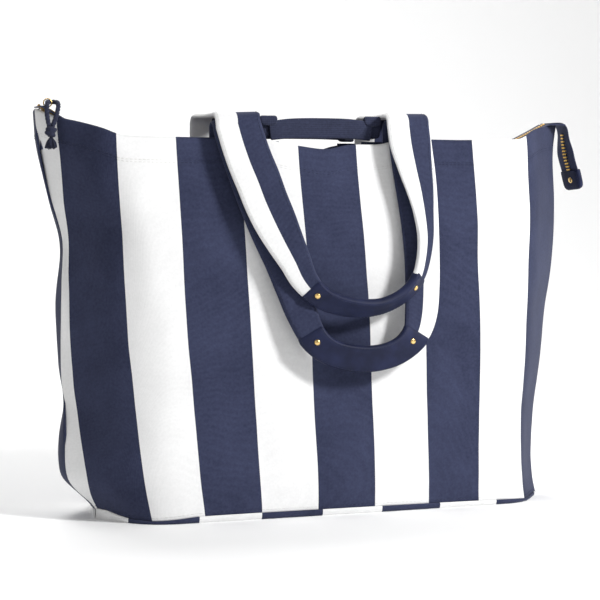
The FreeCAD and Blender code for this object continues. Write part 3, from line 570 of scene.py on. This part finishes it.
def pulled(mark, z, side):
    """The distance from the panel's centre at which a column mark lies at height z."""
    pull_left = pull_right = lean = edge = 0
    if side < 0:
        pull_left, pull_right = between(PULL, z)
        lean, edge = (float(between(stops, z)[0]) for stops in (LEAN_LEFT, EDGE_RIGHT))
    if mark < 0:
        reach = max(0.0, -mark - 3.5 * STRIPE / MM) / (STRIPE / MM)
        lean *= min(1.0, -mark / SIDE_AT) ** 1.8
        return mark + lean - pull_left * reach - 2.5 * math.exp(-(((mark + 159) / 45) ** 2))
    return mark + pull_right * smooth((mark - 60) / 100) + edge * smooth((mark - 165) / 57)


def shell_grid(side):
    """Rows of points of a panel, and the labels of its columns: the distance from the centre
    of a mark, or the share of the way from the seam to the last mark."""
    span = int(STRIPES * PER_STRIPE)
    marks = np.arange(-span, span + 1) / PER_STRIPE * STRIPE / MM
    labels = [("left", k / SEAM_STEPS) for k in range(SEAM_STEPS)] + [("mark", m) for m in marks]
    labels += [("right", 1 - (k + 1) / SEAM_STEPS) for k in range(SEAM_STEPS)]
    outlines = {}

    def plan_place(label, z):
        """X and Y of a column at height z, on the outline at the nearest half millimetre."""
        key = round(z * 2)
        if key not in outlines:
            outlines[key] = outline(key / 2, side)
        path, along, zero = outlines[key]
        kind, value = label
        if kind == "mark":
            where = zero + pulled(value, z, side)
        elif kind == "left":
            where = (zero + pulled(marks[0], z, side)) * value
        else:
            where = along[-1] - (along[-1] - zero - pulled(marks[-1], z, side)) * value
        return values_at(min(max(where, 0), along[-1]), along, path)

    middle_foot = between(FOOT[side], 0)[0]
    grid = []
    for row in range(ROWS + 1):
        t = row / ROWS
        _, along, zero = outline(middle_foot + t * (HEM_HEIGHT - middle_foot), side)
        left, right = -zero, along[-1] - zero
        places = np.concatenate([np.linspace(left, marks[0], SEAM_STEPS + 1)[:-1], marks,
                                 np.linspace(marks[-1], right, SEAM_STEPS + 1)[1:]])
        line = []
        for label, place in zip(labels, places):
            if abs(place) > SIDE_AT:
                place *= SEAM_AT / (-left if place < 0 else right)
            foot, hem = (float(between(stops[side], place)[0]) for stops in (FOOT, HEM))
            z = foot + t * (hem - foot)
            line.append(np.array([*plan_place(label, z), z]) * MM)
        grid.append(line)
    return grid, labels


def stripe_of(label_a, label_b, side):
    """0 for navy and 1 for white, for the cloth between two neighbouring columns. The front has
    white at its left seam and navy at its right one, and the back has navy at both."""
    kinds = {label_a[0], label_b[0]}
    outer = 1 if side < 0 else 0
    if kinds & {"left", "right"}:
        return outer if "left" in kinds else 0
    middle = (label_a[1] + label_b[1]) / 2 * MM / STRIPE
    return (int(round(middle)) + 1 - outer) % 2


def outward(points):
    """Unit normals of a grid, pointing out of the bag."""
    grid = np.array(points)
    across = np.gradient(grid, axis=1)
    up = np.gradient(grid, axis=0)
    normals = np.cross(across, up)
    normals /= np.maximum(np.linalg.norm(normals, axis=2), 1e-9)[..., None]
    return normals


# ---------------------------------------------------------------- the shell's surfaces
def surface(side):
    """The outer surface of a panel with its folds, its outward normals and its columns' labels."""
    points, labels = shell_grid(side)
    points = np.array(points)
    normals = outward(points) * (-side)
    last = points.shape[1] - 1
    for r in range(points.shape[0]):
        for c in range(points.shape[1]):
            point = points[r, c]
            seam = min(c, last - c) / 6
            depth = folds(point, side) * smooth(seam) + creases(point[0] / MM, point[2] / MM, side)
            points[r, c] = point + normals[r, c] * depth * MM
    return points, outward(points) * (-side), labels


def grid_faces(rows, columns, flip=False):
    faces = []
    for r in range(rows - 1):
        for c in range(columns - 1):
            a = r * columns + c
            face = [a, a + 1, a + columns + 1, a + columns]
            faces.append(face[::-1] if flip else face)
    return faces


def row_at(points, normals, distance_down=0.0, share_up=None):
    """Points and normals of a line along a panel, a distance below its hem or a share up it."""
    found, facing = [], []
    for c in range(points.shape[1]):
        lengths = arc_lengths(points[:, c])
        where = lengths[-1] - distance_down if share_up is None else lengths[-1] * share_up
        found.append(values_at(where, lengths, points[:, c]))
        facing.append(values_at(where, lengths, normals[:, c]))
    return np.array(found), np.array(facing)


# Stitch length, the gap after it and the thread's radius, in millimetres.
PANEL_STITCH, STRAP_STITCH = (3.0, 1.4, 0.28), (2.8, 1.2, 0.26)
GRIP_STITCH, TAB_STITCH = (2.6, 1.2, 0.28), (2.2, 1.0, 0.26)
# How a stitch arches: shares of its length, and its height there in millimetres.
STITCH_ARCH = ((0, -0.25), (0.2, 0.12), (0.8, 0.12), (1, -0.25))


def stitch_line(line, facing, sizes):
    """A row of raised stitches along a line of points, standing out along facing."""
    stitch, gap, radius = (size * MM for size in sizes)
    line, facing = np.array(line, float), np.array(facing, float)
    along = arc_lengths(line)
    vertices, faces, start = [], [], 0.0
    while start + stitch < along[-1]:
        places = []
        for share, lift in STITCH_ARCH:
            where = start + stitch * share
            out = values_at(where, along, facing)
            out /= max(np.linalg.norm(out), 1e-9)
            places.append(values_at(where, along, line) + out * lift * MM)
        tube_vertices, tube_faces = tube(places, radius, 5)
        faces += [[len(vertices) + k for k in face] for face in tube_faces]
        vertices += tube_vertices
        start += stitch + gap
    return vertices, faces


def stitch_runs(line, facing, kinds, sizes, first_thread):
    """Rows of stitches along a line, one for each stretch of it where kinds, the colour of the
    cloth, stays the same. Their threads follow first_thread in the piece's materials."""
    parts, start, last = [], 0, len(line) - 1
    for k in range(1, last + 1):
        if k == last or kinds[k] != kinds[start]:
            row = stitch_line(line[start:k + 1], facing[start:k + 1], sizes)
            parts.append((*row, first_thread + kinds[start]))
            start = k
    return parts


def panel(name, side, node):
    """An outer panel and its rows of stitches. Returns its points, their normals and the
    colour of each column of faces."""
    points, normals, labels = surface(side)
    rows, columns = points.shape[:2]
    kinds = [stripe_of(one, other, side) for one, other in zip(labels, labels[1:])]
    cloth = (points.reshape(-1, 3), grid_faces(rows, columns, side > 0), kinds * (rows - 1))
    piece = new_mesh(name, [cloth], [NAVY, WHITE])
    modified(piece, "SUBSURF", levels=1, render_levels=1, boundary_smooth="PRESERVE_CORNERS")
    modified(piece, "SOLIDIFY", thickness=2.0 * MM, offset=-1)
    belongs(piece, "bag", "striped_canvas", node)
    parts = []
    for down, share_up in ((24 * MM, None), (26.5 * MM, None), (0, 0.012)):
        parts += stitch_runs(*row_at(points, normals, down, share_up), kinds, PANEL_STITCH, 0)
    stitches = new_mesh(name + "_stitches", parts, [THREAD_DARK, THREAD_LIGHT])
    belongs(stitches, "bag", "striped_canvas")
    return points, normals, kinds


def inner_skin(name, outer, side, layer, materials, slot, node):
    """A layer inside a panel. layer is how deep it lies, its thickness, and how far below the
    hem its lower and upper edges lie, in millimetres."""
    points, normals, kinds = outer
    depth, thickness, low, high = (size * MM for size in layer)
    rows = []
    for down in np.linspace(low, high, 12 if low - high < 60 * MM else 40):
        line, facing = row_at(points, normals, down)
        rows.append(line - facing * depth)
    grid = np.array(rows)
    grid[:, 0, 0] += depth * 0.8
    grid[:, -1, 0] -= depth * 0.8
    grid[..., 2] = np.maximum(grid[..., 2], 7.0 * MM)
    faces = grid_faces(len(rows), grid.shape[1], side > 0)
    which = kinds * (len(rows) - 1) if len(materials) > 1 else 0
    piece = new_mesh(name, [(grid.reshape(-1, 3), faces, which)], materials)
    modified(piece, "SOLIDIFY", thickness=thickness, offset=-1)
    belongs(piece, "bag", slot, node)


def base_column(x, front_end, back_end):
    """Points across the base at x, from the front seam under the bag to the back one."""
    width = back_end[1] - front_end[1]
    bottom = max(0.3 * MM, min(front_end[2], back_end[2]) - 7.5 * MM)
    turn = min(5 * MM, width * 0.2)

    def turned(end, inward):
        found = [end + [0, 0, 1.5 * MM], end - [0, 0, 0.3 * MM]]
        for share, rise in ((0.12, 0.45), (0.45, 0.10)):
            found.append([x, end[1] + inward * share * turn, bottom + (end[2] - bottom) * rise])
        return found

    flat = [[x, front_end[1] + turn + (width - 2 * turn) * k / 10, bottom] for k in range(11)]
    return turned(front_end, 1) + flat + turned(back_end, -1)[::-1]


def floor_parts(front_line, back_line, pitch=66 * MM, start=-15.7 * MM):
    """The base with its stripes, its stiffener and the lining over it."""
    left, right = front_line[0][0] + 1 * MM, front_line[-1][0] - 1 * MM
    inner = [start + pitch * k / 8 for k in range(-60, 60)]
    marks = [left] + [x for x in inner if left + 2 * MM < x < right - 2 * MM] + [right]
    grid, which = [], []
    for x in marks:
        ends = [np.array([x, *values_at(x, line[:, 0], line[:, 1:])])
                for line in (front_line, back_line)]
        grid.append(base_column(x, *ends))
    rows, columns = len(grid), len(grid[0])
    for one, other in zip(marks, marks[1:]):
        white = int(math.floor(((one + other) / 2 - start) / pitch)) % 2 == 0
        which += [1 if white else 0] * (columns - 1)
    vertices = [v for column in grid for v in column]
    base = new_mesh("base_canvas", [(vertices, grid_faces(rows, columns), which)], [NAVY, WHITE])
    modified(base, "SOLIDIFY", thickness=1.6 * MM, offset=1)
    belongs(base, "bag", "striped_canvas", "base_panel")
    rim = [(p[0], p[1]) for p in front_line] + [(p[0], p[1]) for p in back_line[::-1]]
    count = len(rim)
    faces = [[k, (k + 1) % count, count + (k + 1) % count, count + k] for k in range(count)]
    faces += [list(range(count))[::-1], [count + k for k in range(count)]]
    for name, scale, low, high, material, slot, node in (
            ("base_stiffener", 0.945, 2.6, 5.2, BOARD, "stiffener_board", "base_board"),
            ("base_lining_cloth", 0.965, 5.8, 6.8, LINING, "lining_cloth", "base_lining")):
        vertices = [(x * scale, (y + 0.01) * scale - 0.01, z * MM)
                    for z in (low, high) for x, y in rim]
        piece = new_mesh(name, [(vertices, faces, 0)], [material], smooth_faces=False)
        belongs(piece, "bag", slot, node)


SIDES = {"front": -1, "back": 1}
PANELS = {word: panel(f"{word}_canvas", side, f"{word}_panel") for word, side in SIDES.items()}
for word, side in SIDES.items():
    inner_skin(f"{word}_facing_cloth", PANELS[word], side, (2.1, 1.6, 42, 0.2), [NAVY, WHITE],
               "striped_canvas", f"{word}_facing")
    inner_skin(f"{word}_lining_cloth", PANELS[word], side, (4.3, 0.8, 372, 38), [LINING],
               "lining_cloth", f"{word}_lining")
floor_parts(PANELS["front"][0][0], PANELS["back"][0][0])


# ---------------------------------------------------------------- ribbons
ACROSS = (-1, -0.93, -0.8, -0.5, -0.03, 0.03, 0.5, 0.8, 0.93, 1)


def ribbon(stations, colour=lambda station, across: 0):
    """A flat strap. Each station is its centre, the unit direction across it, its unit normal,
    width and thickness. colour(station, across) gives a face's place in the materials."""
    rim = [(1, u) for u in ACROSS] + [(-1, u) for u in ACROSS[::-1]]
    ring, last = len(rim), len(stations) - 1
    vertices, faces, which = [], [], []
    for centre, wide, normal, width, thick in stations:
        for face_side, u in rim:
            edge = 0.30 if abs(u) == 1 else (0.80 if abs(u) > 0.9 else 1.0)
            seam = 0.92 if abs(u) < 0.1 else 1.0
            lift = face_side * thick / 2 * edge * seam
            vertices.append(centre + wide * (u * width / 2) + normal * lift)
    for s in range(last):
        for k in range(ring):
            following = (k + 1) % ring
            a, b = s * ring + k, s * ring + following
            faces.append([a, b, b + ring, a + ring])
            which.append(colour(s, (rim[k][1] + rim[following][1]) / 2))
    faces += [list(range(ring))[::-1], [last * ring + k for k in range(ring)]]
    which += [colour(0, 0.5), colour(last - 1, 0.5)]
    return vertices, faces, which


def curve_through(stops, count):
    """count rows of smooth values through stops, evenly spread along their first two values."""
    stops = np.array(stops, float)
    pairs = list(zip(arc_lengths(stops[:, :2]), stops.tolist()))
    fine = np.array([between(pairs, where) for where in np.linspace(0, pairs[-1][0], count * 4)])
    steps = arc_lengths(fine[:, :2])
    return values_at(np.linspace(0, steps[-1], count), steps, fine)


# Each loop hangs in a plane that leans out of the vertical. Its line is given as
# X, height, width, how far it is rolled about its own line, and its thickness.
FRONT_LOOP = [
    (-96, 395, 47, 0, 4), (-91, 376, 47, 0, 4), (-82, 346, 47, 0, 4), (-73, 318, 47, 0, 4),
    (-64, 292, 46, 0, 4), (-54, 264, 43, 0, 4), (-46, 234, 37, 0, 5), (-38, 206, 32, 0, 6),
    (-27, 182, 28, 0, 7), (-13, 169, 26, 0, 7), (6, 162, 26, 0, 7), (31, 159.5, 26, 0, 7),
    (54, 163, 26, 0, 7), (71, 171, 27, 0, 7), (84, 184, 31, 0, 6), (91, 203, 36, 0, 5),
    (95, 232, 38, 0, 5), (97, 262, 39, 0, 4), (97.5, 300, 42, 0, 4), (96, 340, 46, 0, 4),
    (94, 372, 47, 0, 4), (93, 395, 47, 0, 4),
]
BACK_LOOP = [
    (-96.5, 399, 47, 0, 4), (-92, 380, 47, 0, 4), (-86, 360, 47, 0, 4), (-79, 341, 47, 0, 4),
    (-72, 320, 46, 0, 4), (-63.5, 299, 44, 0, 4), (-54.5, 279, 39, 0, 4), (-45, 259, 33, 0, 5),
    (-37, 241, 28, 5, 6), (-24, 226, 23, 12, 7), (-6, 216.5, 21, 20, 7), (18, 211.5, 21, 30, 7),
    (40, 212, 20, 38, 7), (59, 218, 19, 40, 7), (75, 228, 19, 40, 7), (87, 242, 20, 36, 7),
    (94, 260, 20, 30, 6), (98, 282, 21, 24, 6), (98, 305, 25, 18, 5), (96, 330, 32, 12, 4),
    (92, 356, 39, 6, 4), (89, 380, 45, 0, 4), (88, 399, 46, 0, 4),
]
LEAN = math.radians(12)
# A fold of each handle over its root: Y and height of its axis, and its radius.
FRONT_FOLD, BACK_FOLD, ROOT_FOLD = (-46, 395, 8), (-55, 399, 10), (28, 399, 10)


def loop_stations(stops, plane_y, top, count=150):
    """Stations of a hanging loop from its left fold round to its right one."""
    rows = curve_through(stops, count)
    centres = [Vector((x, plane_y - (top - z) * math.tan(LEAN), z)) * MM for x, z, *_ in rows]
    normal_out = Vector((0, -math.cos(LEAN), -math.sin(LEAN)))
    stations = []
    for centre, tangent, row in zip(centres, tangents_of(centres), rows):
        wide = normal_out.cross(tangent).normalized()
        normal = tangent.cross(wide).normalized()
        turn = Matrix.Rotation(math.radians(row[3]), 3, tangent)
        stations.append((centre, turn @ wide, turn @ normal, row[2] * MM, row[4] * MM))
    return stations


def flat_across(wide):
    """The direction along X that points the way wide does."""
    return ALONG if wide.x > 0 else -ALONG


def fold_stations(first, fold, start_deg, end_deg, count=14):
    """Stations that carry a strap on from its first one round a fold's axis. Angles are
    measured from straight up towards the front."""
    centre, wide, _, width, thick = first
    axis_y, axis_z, radius = fold
    found = []
    for k in range(1, count + 1):
        share = k / count
        angle = math.radians(start_deg + (end_deg - start_deg) * share)
        out = Vector((0, -math.sin(angle), math.cos(angle)))
        place = Vector((centre.x, axis_y * MM, axis_z * MM)) + out * radius * MM
        across = (wide * (1 - share) + flat_across(wide) * share).normalized()
        found.append((place, across, out, width, thick))
    return found


def straight(last, places, normal):
    """Flat stations through places, as Y and height, with the last one's X and size."""
    centre, wide, _, width, thick = last
    return [(Vector((centre.x, y * MM, z * MM)), flat_across(wide), normal, width, thick)
            for y, z in places]


def strap_stitches(stations, colour, inset=3.0):
    """Two rows of stitches along the outer face of a strap near its edges, in the third and
    fourth of its piece's materials."""
    parts = []
    for sign in (-1, 1):
        line = [centre + wide * sign * (width / 2 - inset * MM) + normal * thick * 0.48
                for centre, wide, normal, width, thick in stations]
        kinds = [colour(s, sign * 0.8) for s in range(len(stations))]
        parts += stitch_runs(line, [s[2] for s in stations], kinds, STRAP_STITCH, 2)
    return parts


def strap_piece(name, straps):
    """A piece of one or more straps with their stitches, each its stations and its colour."""
    parts = []
    for stations, colour in straps:
        parts += [ribbon(stations, colour)] + strap_stitches(stations, colour)
    piece = new_mesh(name, parts, [NAVY, WHITE, THREAD_DARK, THREAD_LIGHT])
    return piece


def front_strap():
    """The front handle's strap, from its left end over the folds and loop to its right end."""
    loop, ends = loop_stations(FRONT_LOOP, -54, 395), []
    for first in (loop[0], loop[-1]):
        end = fold_stations(first, FRONT_FOLD, 90, -90)
        ends.append(end + straight(end[-1], [(-38, 385), (-38, 372), (-38, 358)], INSIDE))
    stations = ends[0][::-1] + loop + ends[1]

    def colour(station, across):
        past_grip = station > len(stations) / 2 or stations[station][0].x > -20 * MM
        return 1 if across < 0 and past_grip else 0

    piece = strap_piece("front_handle_band", [(stations, colour)])
    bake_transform(piece)
    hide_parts("front_handle_strap", "front_handle_folds", "front_strap_ends")
    return loop


def back_strap():
    """The back handle's strap, and the bridges that carry its ends over the mouth."""
    loop = loop_stations(BACK_LOOP, -65, 399)
    folds_left, folds_right = (fold_stations(end, BACK_FOLD, 90, 0) for end in (loop[0], loop[-1]))
    stations = folds_left[::-1] + loop + folds_right

    def colour(station, across):
        outer_is_white = stations[station][0].x < 50 * MM
        return 1 if (across < 0) == outer_is_white else 0

    piece = strap_piece("back_handle_band", [(stations, colour)])
    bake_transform(piece)
    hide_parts("back_handle_strap", "back_handle_folds")

    straps = []
    for end, sign in ((folds_left[-1], -1), (folds_right[-1], 1)):
        over = [(y, 409 - 1.2 * math.sin(math.pi * (y + 55) / 83))
                for y in (-45, -35, -25, -15, -5, 5, 15, 24)]
        bridge = [end] + straight(end, over + [(28, 409)], UP)
        bridge += fold_stations(bridge[-1], ROOT_FOLD, 0, -90, 9)
        bridge += straight(end, [(38, 386), (38, 374), (38, 361)], INSIDE)
        straps.append((bridge, lambda station, across, sign=sign: 1 if across * sign > 0 else 0))
    bridges = strap_piece("back_handle_bridging", straps)
    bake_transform(bridges)
    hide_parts("back_handle_bridges", "back_handle_root_folds", "back_strap_ends")
    return loop


# The heads of the grips' rivets and of the end tab's: heights and radii.
GRIP_DOME = [(0.0, 3.1), (0.5, 3.0), (1.0, 2.5), (1.35, 1.7), (1.5, 0.6)]
TAB_DOME = [(0.0, 3.2), (0.5, 3.1), (1.0, 2.6), (1.35, 1.7), (1.5, 0.6)]


def dome(foot, out, profile):
    """A rivet's head that rises from foot along out."""
    places = [foot + out * height * MM for height, _ in profile]
    return (*tube(places, [radius * MM for _, radius in profile], 20), 0)


def grip(name, loop, low_x, high_x, body, node, rivet_node, rivets, margin=1.6):
    """The sleeve round the folded bottom of a loop, its stitching and its two rivets."""
    chosen = [s for s in loop if low_x * MM <= s[0].x <= high_x * MM and s[0].z < 0.26]
    stations = []
    for k, (centre, wide, normal, width, thick) in enumerate(chosen):
        swell = 1.0 if 0 < k < len(chosen) - 1 else 0.93
        stations.append((centre - wide * 0.6 * MM, wide, normal, (width + margin * MM) * swell,
                         (thick + 1.8 * MM) * swell))
    parts = [ribbon(stations)]
    for sign in (-1, 1):
        line = [centre + wide * sign * (width / 2 - 2.2 * MM) + normal * thick * 0.49
                for centre, wide, normal, width, thick in stations]
        parts.append((*stitch_line(line, [s[2] for s in stations], GRIP_STITCH), 1))
    sleeve = new_mesh(name, parts, [LEATHER, THREAD_DARK])
    modified(sleeve, "BEVEL", width=0.4 * MM, segments=1, limit_method="ANGLE")
    belongs(sleeve, body, "leather", node)
    parts = []
    for x in rivets:
        centre, _, normal, _, thick = min(stations, key=lambda s: abs(s[0].x - x * MM))
        for out in (normal, -normal):
            parts.append(dome(centre + out * (thick / 2 - 0.2 * MM), out, GRIP_DOME))
    studs = new_mesh(name + "_studs", parts, [BRASS])
    belongs(studs, body, "rivet_brass", rivet_node)


front_loop, back_loop = front_strap(), back_strap()
grip("front_grip_sleeve", front_loop, -30, 86, "front_handle", "front_handle_grip",
     "front_grip_rivets", (-23, 77))
grip("back_grip_sleeve", back_loop, -31, 88, "back_handle", "back_handle_grip",
     "back_grip_rivets", (-24, 80))


# ---------------------------------------------------------------- webbing grab handles
def grab_handle(name, side, lean, body, node):
    """A webbing handle on its edge over the middle of a hem: two shoulders that fold over and
    the band between them. lean turns it down towards the outside."""
    y0, thick, hinge = side * 39, 2.2 * MM, Vector((0, side * 39 * MM, 383 * MM))
    turn = Matrix.Rotation(math.radians(-lean * side), 3, "X")

    def leaned(centre, wide, normal, width):
        place = hinge + turn @ (centre * MM - hinge)
        return place, turn @ wide, turn @ normal, width * MM, thick

    band = []
    for k in range(61):
        t = -1 + 2 * k / 60
        centre = Vector((56 * t, y0 - 2.6, 395.5 - 3.5 * abs(t) ** 3))
        across = Vector((0.10 * t, 0, 1)).normalized()
        band.append(leaned(centre, across, OUTSIDE, 21 - 1.5 * abs(t) ** 4))
    parts = [ribbon(band)]
    for x in (-57, 57):
        leg = [leaned(Vector((x, y0 + y, z)), ALONG, INSIDE, 19)
               for y, z in ((0.6, 384), (0.6, 392), (0.6, 400), (0.4, 404))]
        for k in range(9):
            angle = math.radians(180 * k / 8)
            out = Vector((0, math.cos(angle), math.sin(angle)))
            place = Vector((x, y0 - 1.6, 405)) + out * 2.2
            leg.append(leaned(place, ALONG, out, 19 - 2 * math.sin(angle)))
        leg.append(leaned(Vector((x, y0 - 3.6, 397)), ALONG, OUTSIDE, 18))
        parts.append(ribbon(leg))
    piece = new_mesh(name, parts, [WEBBING])
    modified(piece, "SUBSURF", levels=1, render_levels=1)
    belongs(piece, body, "webbing", node)


grab_handle("front_grab_webbing", -1, 0, "front_grab", "front_grab_handle")
grab_handle("back_grab_webbing", 1, 58, "back_grab", "back_grab_handle")


# ---------------------------------------------------------------- zip
ZIP_CENTRE, ZIP_RADIUS = Vector((4, 0, 893.7)) * MM, 560 * MM


# A tooth of the main run as sections: how far each reaches out from the middle, and half its
# length along the tape.
TOOTH = ((-1.6, 0.75), (0.4, 0.6), (1.4, 0.85), (1.9, 0.5))
TEETH_END = 275


def zip_teeth(pitch=3.0 * MM):
    """Single teeth on the inner edges of both tapes."""
    sections = [[4 * ring + k for k in pair] for ring in range(3) for pair in
                ((0, 1, 5, 4), (1, 3, 7, 5), (3, 2, 6, 7), (2, 0, 4, 6))]
    faces = sections + [[0, 2, 3, 1], [12, 13, 15, 14]]
    for side, node, shift in ((-1, "front_zip_teeth", 0.0), (1, "back_zip_teeth", 0.5)):
        low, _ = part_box(node)
        first = math.asin((low.x - ZIP_CENTRE.x) / ZIP_RADIUS)
        last = math.asin((TEETH_END * MM - ZIP_CENTRE.x) / ZIP_RADIUS)
        inward = Vector((0, side, 0))
        parts = []
        for k in range(int((last - first) * ZIP_RADIUS / pitch)):
            angle = first + (k + 0.5 + shift) * pitch / ZIP_RADIUS
            out = Vector((math.sin(angle), 0, -math.cos(angle)))
            along = Vector((math.cos(angle), 0, math.sin(angle)))
            middle = ZIP_CENTRE + out * (ZIP_RADIUS - 0.4 * MM) + inward * 1.7 * MM
            corners = [middle - inward * reach * MM + out * up * 1.25 * MM + along * end * half * MM
                       for reach, half in TOOTH for up in (-1, 1) for end in (-1, 1)]
            parts.append((corners, faces, 0))
        piece = new_mesh(node + "_row", parts, [TEETH], smooth_faces=False)
        belongs(piece, "bag", "zip_teeth", node)


# The line of the zip's loose end, as X and height.
TAIL = [(274, 403.6), (282, 404.2), (288, 403.9), (292, 401.5), (294.5, 396), (296, 384),
        (299, 367), (303.5, 352), (306, 344)]
BOX_FACES = [[0, 1, 3, 2], [4, 6, 7, 5], [0, 4, 5, 1], [2, 3, 7, 6], [0, 2, 6, 4], [1, 5, 7, 3]]
# The end tab: places down it with its width and thickness there, and its stitches' line.
TAB = ((-9, 29.5, 5.0), (-8, 30.5, 6.0), (0, 30.5, 6.2), (6, 30, 6.2), (9.5, 28, 6.0),
       (11.5, 24, 5.2), (12.6, 18, 3.6))
TAB_SEAM, TAB_WIDTHS = (-7, 0, 6, 8.5), [(-9, 30), (6, 30), (12, 22)]


def facing_in(normal):
    """A normal of the tail, turned towards the bag."""
    return normal if normal.x < 0 else -normal


def tail_stations():
    """Stations of the tail's tape, which turns a little as it hangs."""
    points = [Vector((x, 0, z)) * MM for x, z in curve_through(TAIL, 46)]
    stations = []
    for k, (point, tangent) in enumerate(zip(points, tangents_of(points))):
        turn = math.radians(15) * smooth((k - 16) / 14)
        wide = Vector((-math.sin(turn), math.cos(turn), 0))
        wide = (wide - tangent * wide.dot(tangent)).normalized()
        normal = tangent.cross(wide).normalized()
        if normal.z < 0 and k < 14:
            normal = -normal
        stations.append((point, wide, normal, 28 * MM, 1.3 * MM))
    return stations


def tail_teeth(stations):
    """Pairs of teeth down the hanging part of the tail."""
    parts = []
    walked, next_tooth = 0.0, 0.0
    for k in range(len(stations) - 1):
        centre, wide, normal, _, _ = stations[k]
        step = stations[k + 1][0] - centre
        walked += step.length
        if walked < next_tooth or k < 17 or k > len(stations) - 6:
            continue
        next_tooth = walked + 2.4 * MM
        tangent, inward = step.normalized(), facing_in(normal)
        for sign in (-1, 1):
            middle = centre + wide * sign * 1.3 * MM + inward * 1.3 * MM
            corners = [middle + (wide * a * 1.4 + tangent * b * 0.75 + inward * c * 0.8) * MM
                       for a in (-1, 1) for b in (-1, 1) for c in (-1, 1)]
            parts.append((corners, BOX_FACES, 0))
    return parts


def zip_tail():
    """The zip's loose end: tape folded over the corner, its teeth, the end tab and its rivet."""
    stations = tail_stations()
    tape = new_mesh("zip_tail_cloth", [ribbon(stations)], [TAPE])
    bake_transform(tape)
    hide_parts("zip_tail_tape", "zip_tail_fold")
    teeth = new_mesh("zip_tail_teeth_row", tail_teeth(stations), [TEETH], smooth_faces=False)
    belongs(teeth, "tail", "zip_teeth", "zip_tail_teeth")

    centre, wide, normal, _, _ = stations[-1]
    down, inward = Vector((0.25, 0, -1)).normalized(), facing_in(normal)
    parts = [ribbon([(centre + down * t * MM, wide, normal, width * MM, thick * MM)
                     for t, width, thick in TAB])]
    line = []
    for sign, places in ((-1, TAB_SEAM), (1, TAB_SEAM[::-1])):
        for t in places:
            reach = sign * (between(TAB_WIDTHS, t)[0] / 2 - 2.4)
            line.append(centre + down * t * MM + wide * reach * MM + inward * 3.0 * MM)
    parts.append((*stitch_line(line, [inward] * len(line), TAB_STITCH), 1))
    tab = new_mesh("zip_end_leather", parts, [LEATHER, THREAD_DARK])
    modified(tab, "BEVEL", width=0.5 * MM, segments=2, limit_method="ANGLE")
    belongs(tab, "tail", "leather", "zip_end_tab")
    stud = new_mesh("zip_end_stud", [dome(centre + down * 1.5 * MM + out * 2.9 * MM, out, TAB_DOME)
                                     for out in (inward, -inward)], [BRASS])
    belongs(stud, "tail", "rivet_brass", "zip_tab_rivet")


def seam_bindings():
    """Tape over the side seams inside the bag."""
    for word, column, inward in (("left", 0, 1), ("right", -1, -1)):
        seam = [Vector(p) for p in PANELS["front"][0][2:-2:2, column]]
        stations = [(p + ALONG * inward * 9.5 * MM, ALONG, INSIDE, 11 * MM, 1.6 * MM)
                    for p in seam]
        piece = new_mesh(f"{word}_seam_tape", [ribbon(stations)], [BINDING])
        belongs(piece, "bag", "binding_tape", f"{word}_seam_binding")


zip_teeth()
zip_tail()
seam_bindings()


# ---------------------------------------------------------------- materials of the CAD's own nodes
DRESSED = {"front_zip_tape": TAPE, "back_zip_tape": TAPE, "zip_slider": BRASS, "pull_ring": BRASS,
           "front_grab_ends": WEBBING, "back_grab_ends": WEBBING}
DRESSED.update((node, NAVY) for node in nodes if "gusset" in node)
for node, material in DRESSED.items():
    nodes[node].data.materials.clear()
    nodes[node].data.materials.append(material)


# ---------------------------------------------------------------- floor and light
FLOOR_SIZE, BEND_START, BEND, WALL_TOP = 6, 1.2, 0.8, 5
FLOOR_COLOUR, FLOOR_ROUGHNESS, DAYLIGHT = (0.97, 0.97, 0.97, 1), 0.9, 0.31


def make_stage():
    """A pale floor that bends up into a wall behind the bag."""
    material = bpy.data.materials.new("pale_floor")
    material.use_nodes = True
    shader = material.node_tree.nodes["Principled BSDF"]
    shader.inputs["Base Color"].default_value = FLOOR_COLOUR
    shader.inputs["Roughness"].default_value = FLOOR_ROUGHNESS
    profile = [(-FLOOR_SIZE, 0), (BEND_START, 0)]
    for k in range(1, 13):
        angle = math.pi / 2 * k / 12
        profile.append((BEND_START + BEND * math.sin(angle), BEND - BEND * math.cos(angle)))
    profile.append((BEND_START + BEND, WALL_TOP))
    vertices = [(x, y, z) for y, z in profile for x in (-FLOOR_SIZE, FLOOR_SIZE)]
    faces = [[2 * k, 2 * k + 1, 2 * k + 3, 2 * k + 2] for k in range(len(profile) - 1)]
    new_mesh("studio_floor", [(vertices, faces, 0)], [material])


def area_light(name, place, target, size, power):
    """A square lamp at place that shines on target."""
    data = bpy.data.lights.new(name, "AREA")
    data.size, data.energy = size, power
    lamp = bpy.data.objects.new(name, data)
    lamp.location = place
    lamp.rotation_euler = (Vector(target) - Vector(place)).to_track_quat("-Z", "Y").to_euler()
    bpy.context.scene.collection.objects.link(lamp)


make_stage()
area_light("key", (1.15, -1.3, 1.25), (0, 0, 0.2), 0.36, 40)
area_light("fill", (-2.4, -1.6, 1.2), (0, 0, 0.2), 1.6, 6)
area_light("top", (-0.1, 1.5, 2.3), (0, 0, 0), 1.2, 36)
world = bpy.data.worlds.new("studio")
world.use_nodes = True
background = world.node_tree.nodes["Background"]
background.inputs["Color"].default_value = (1, 1, 1, 1)
background.inputs["Strength"].default_value = DAYLIGHT
bpy.context.scene.world = world
bpy.context.scene.view_settings.view_transform = "Standard"
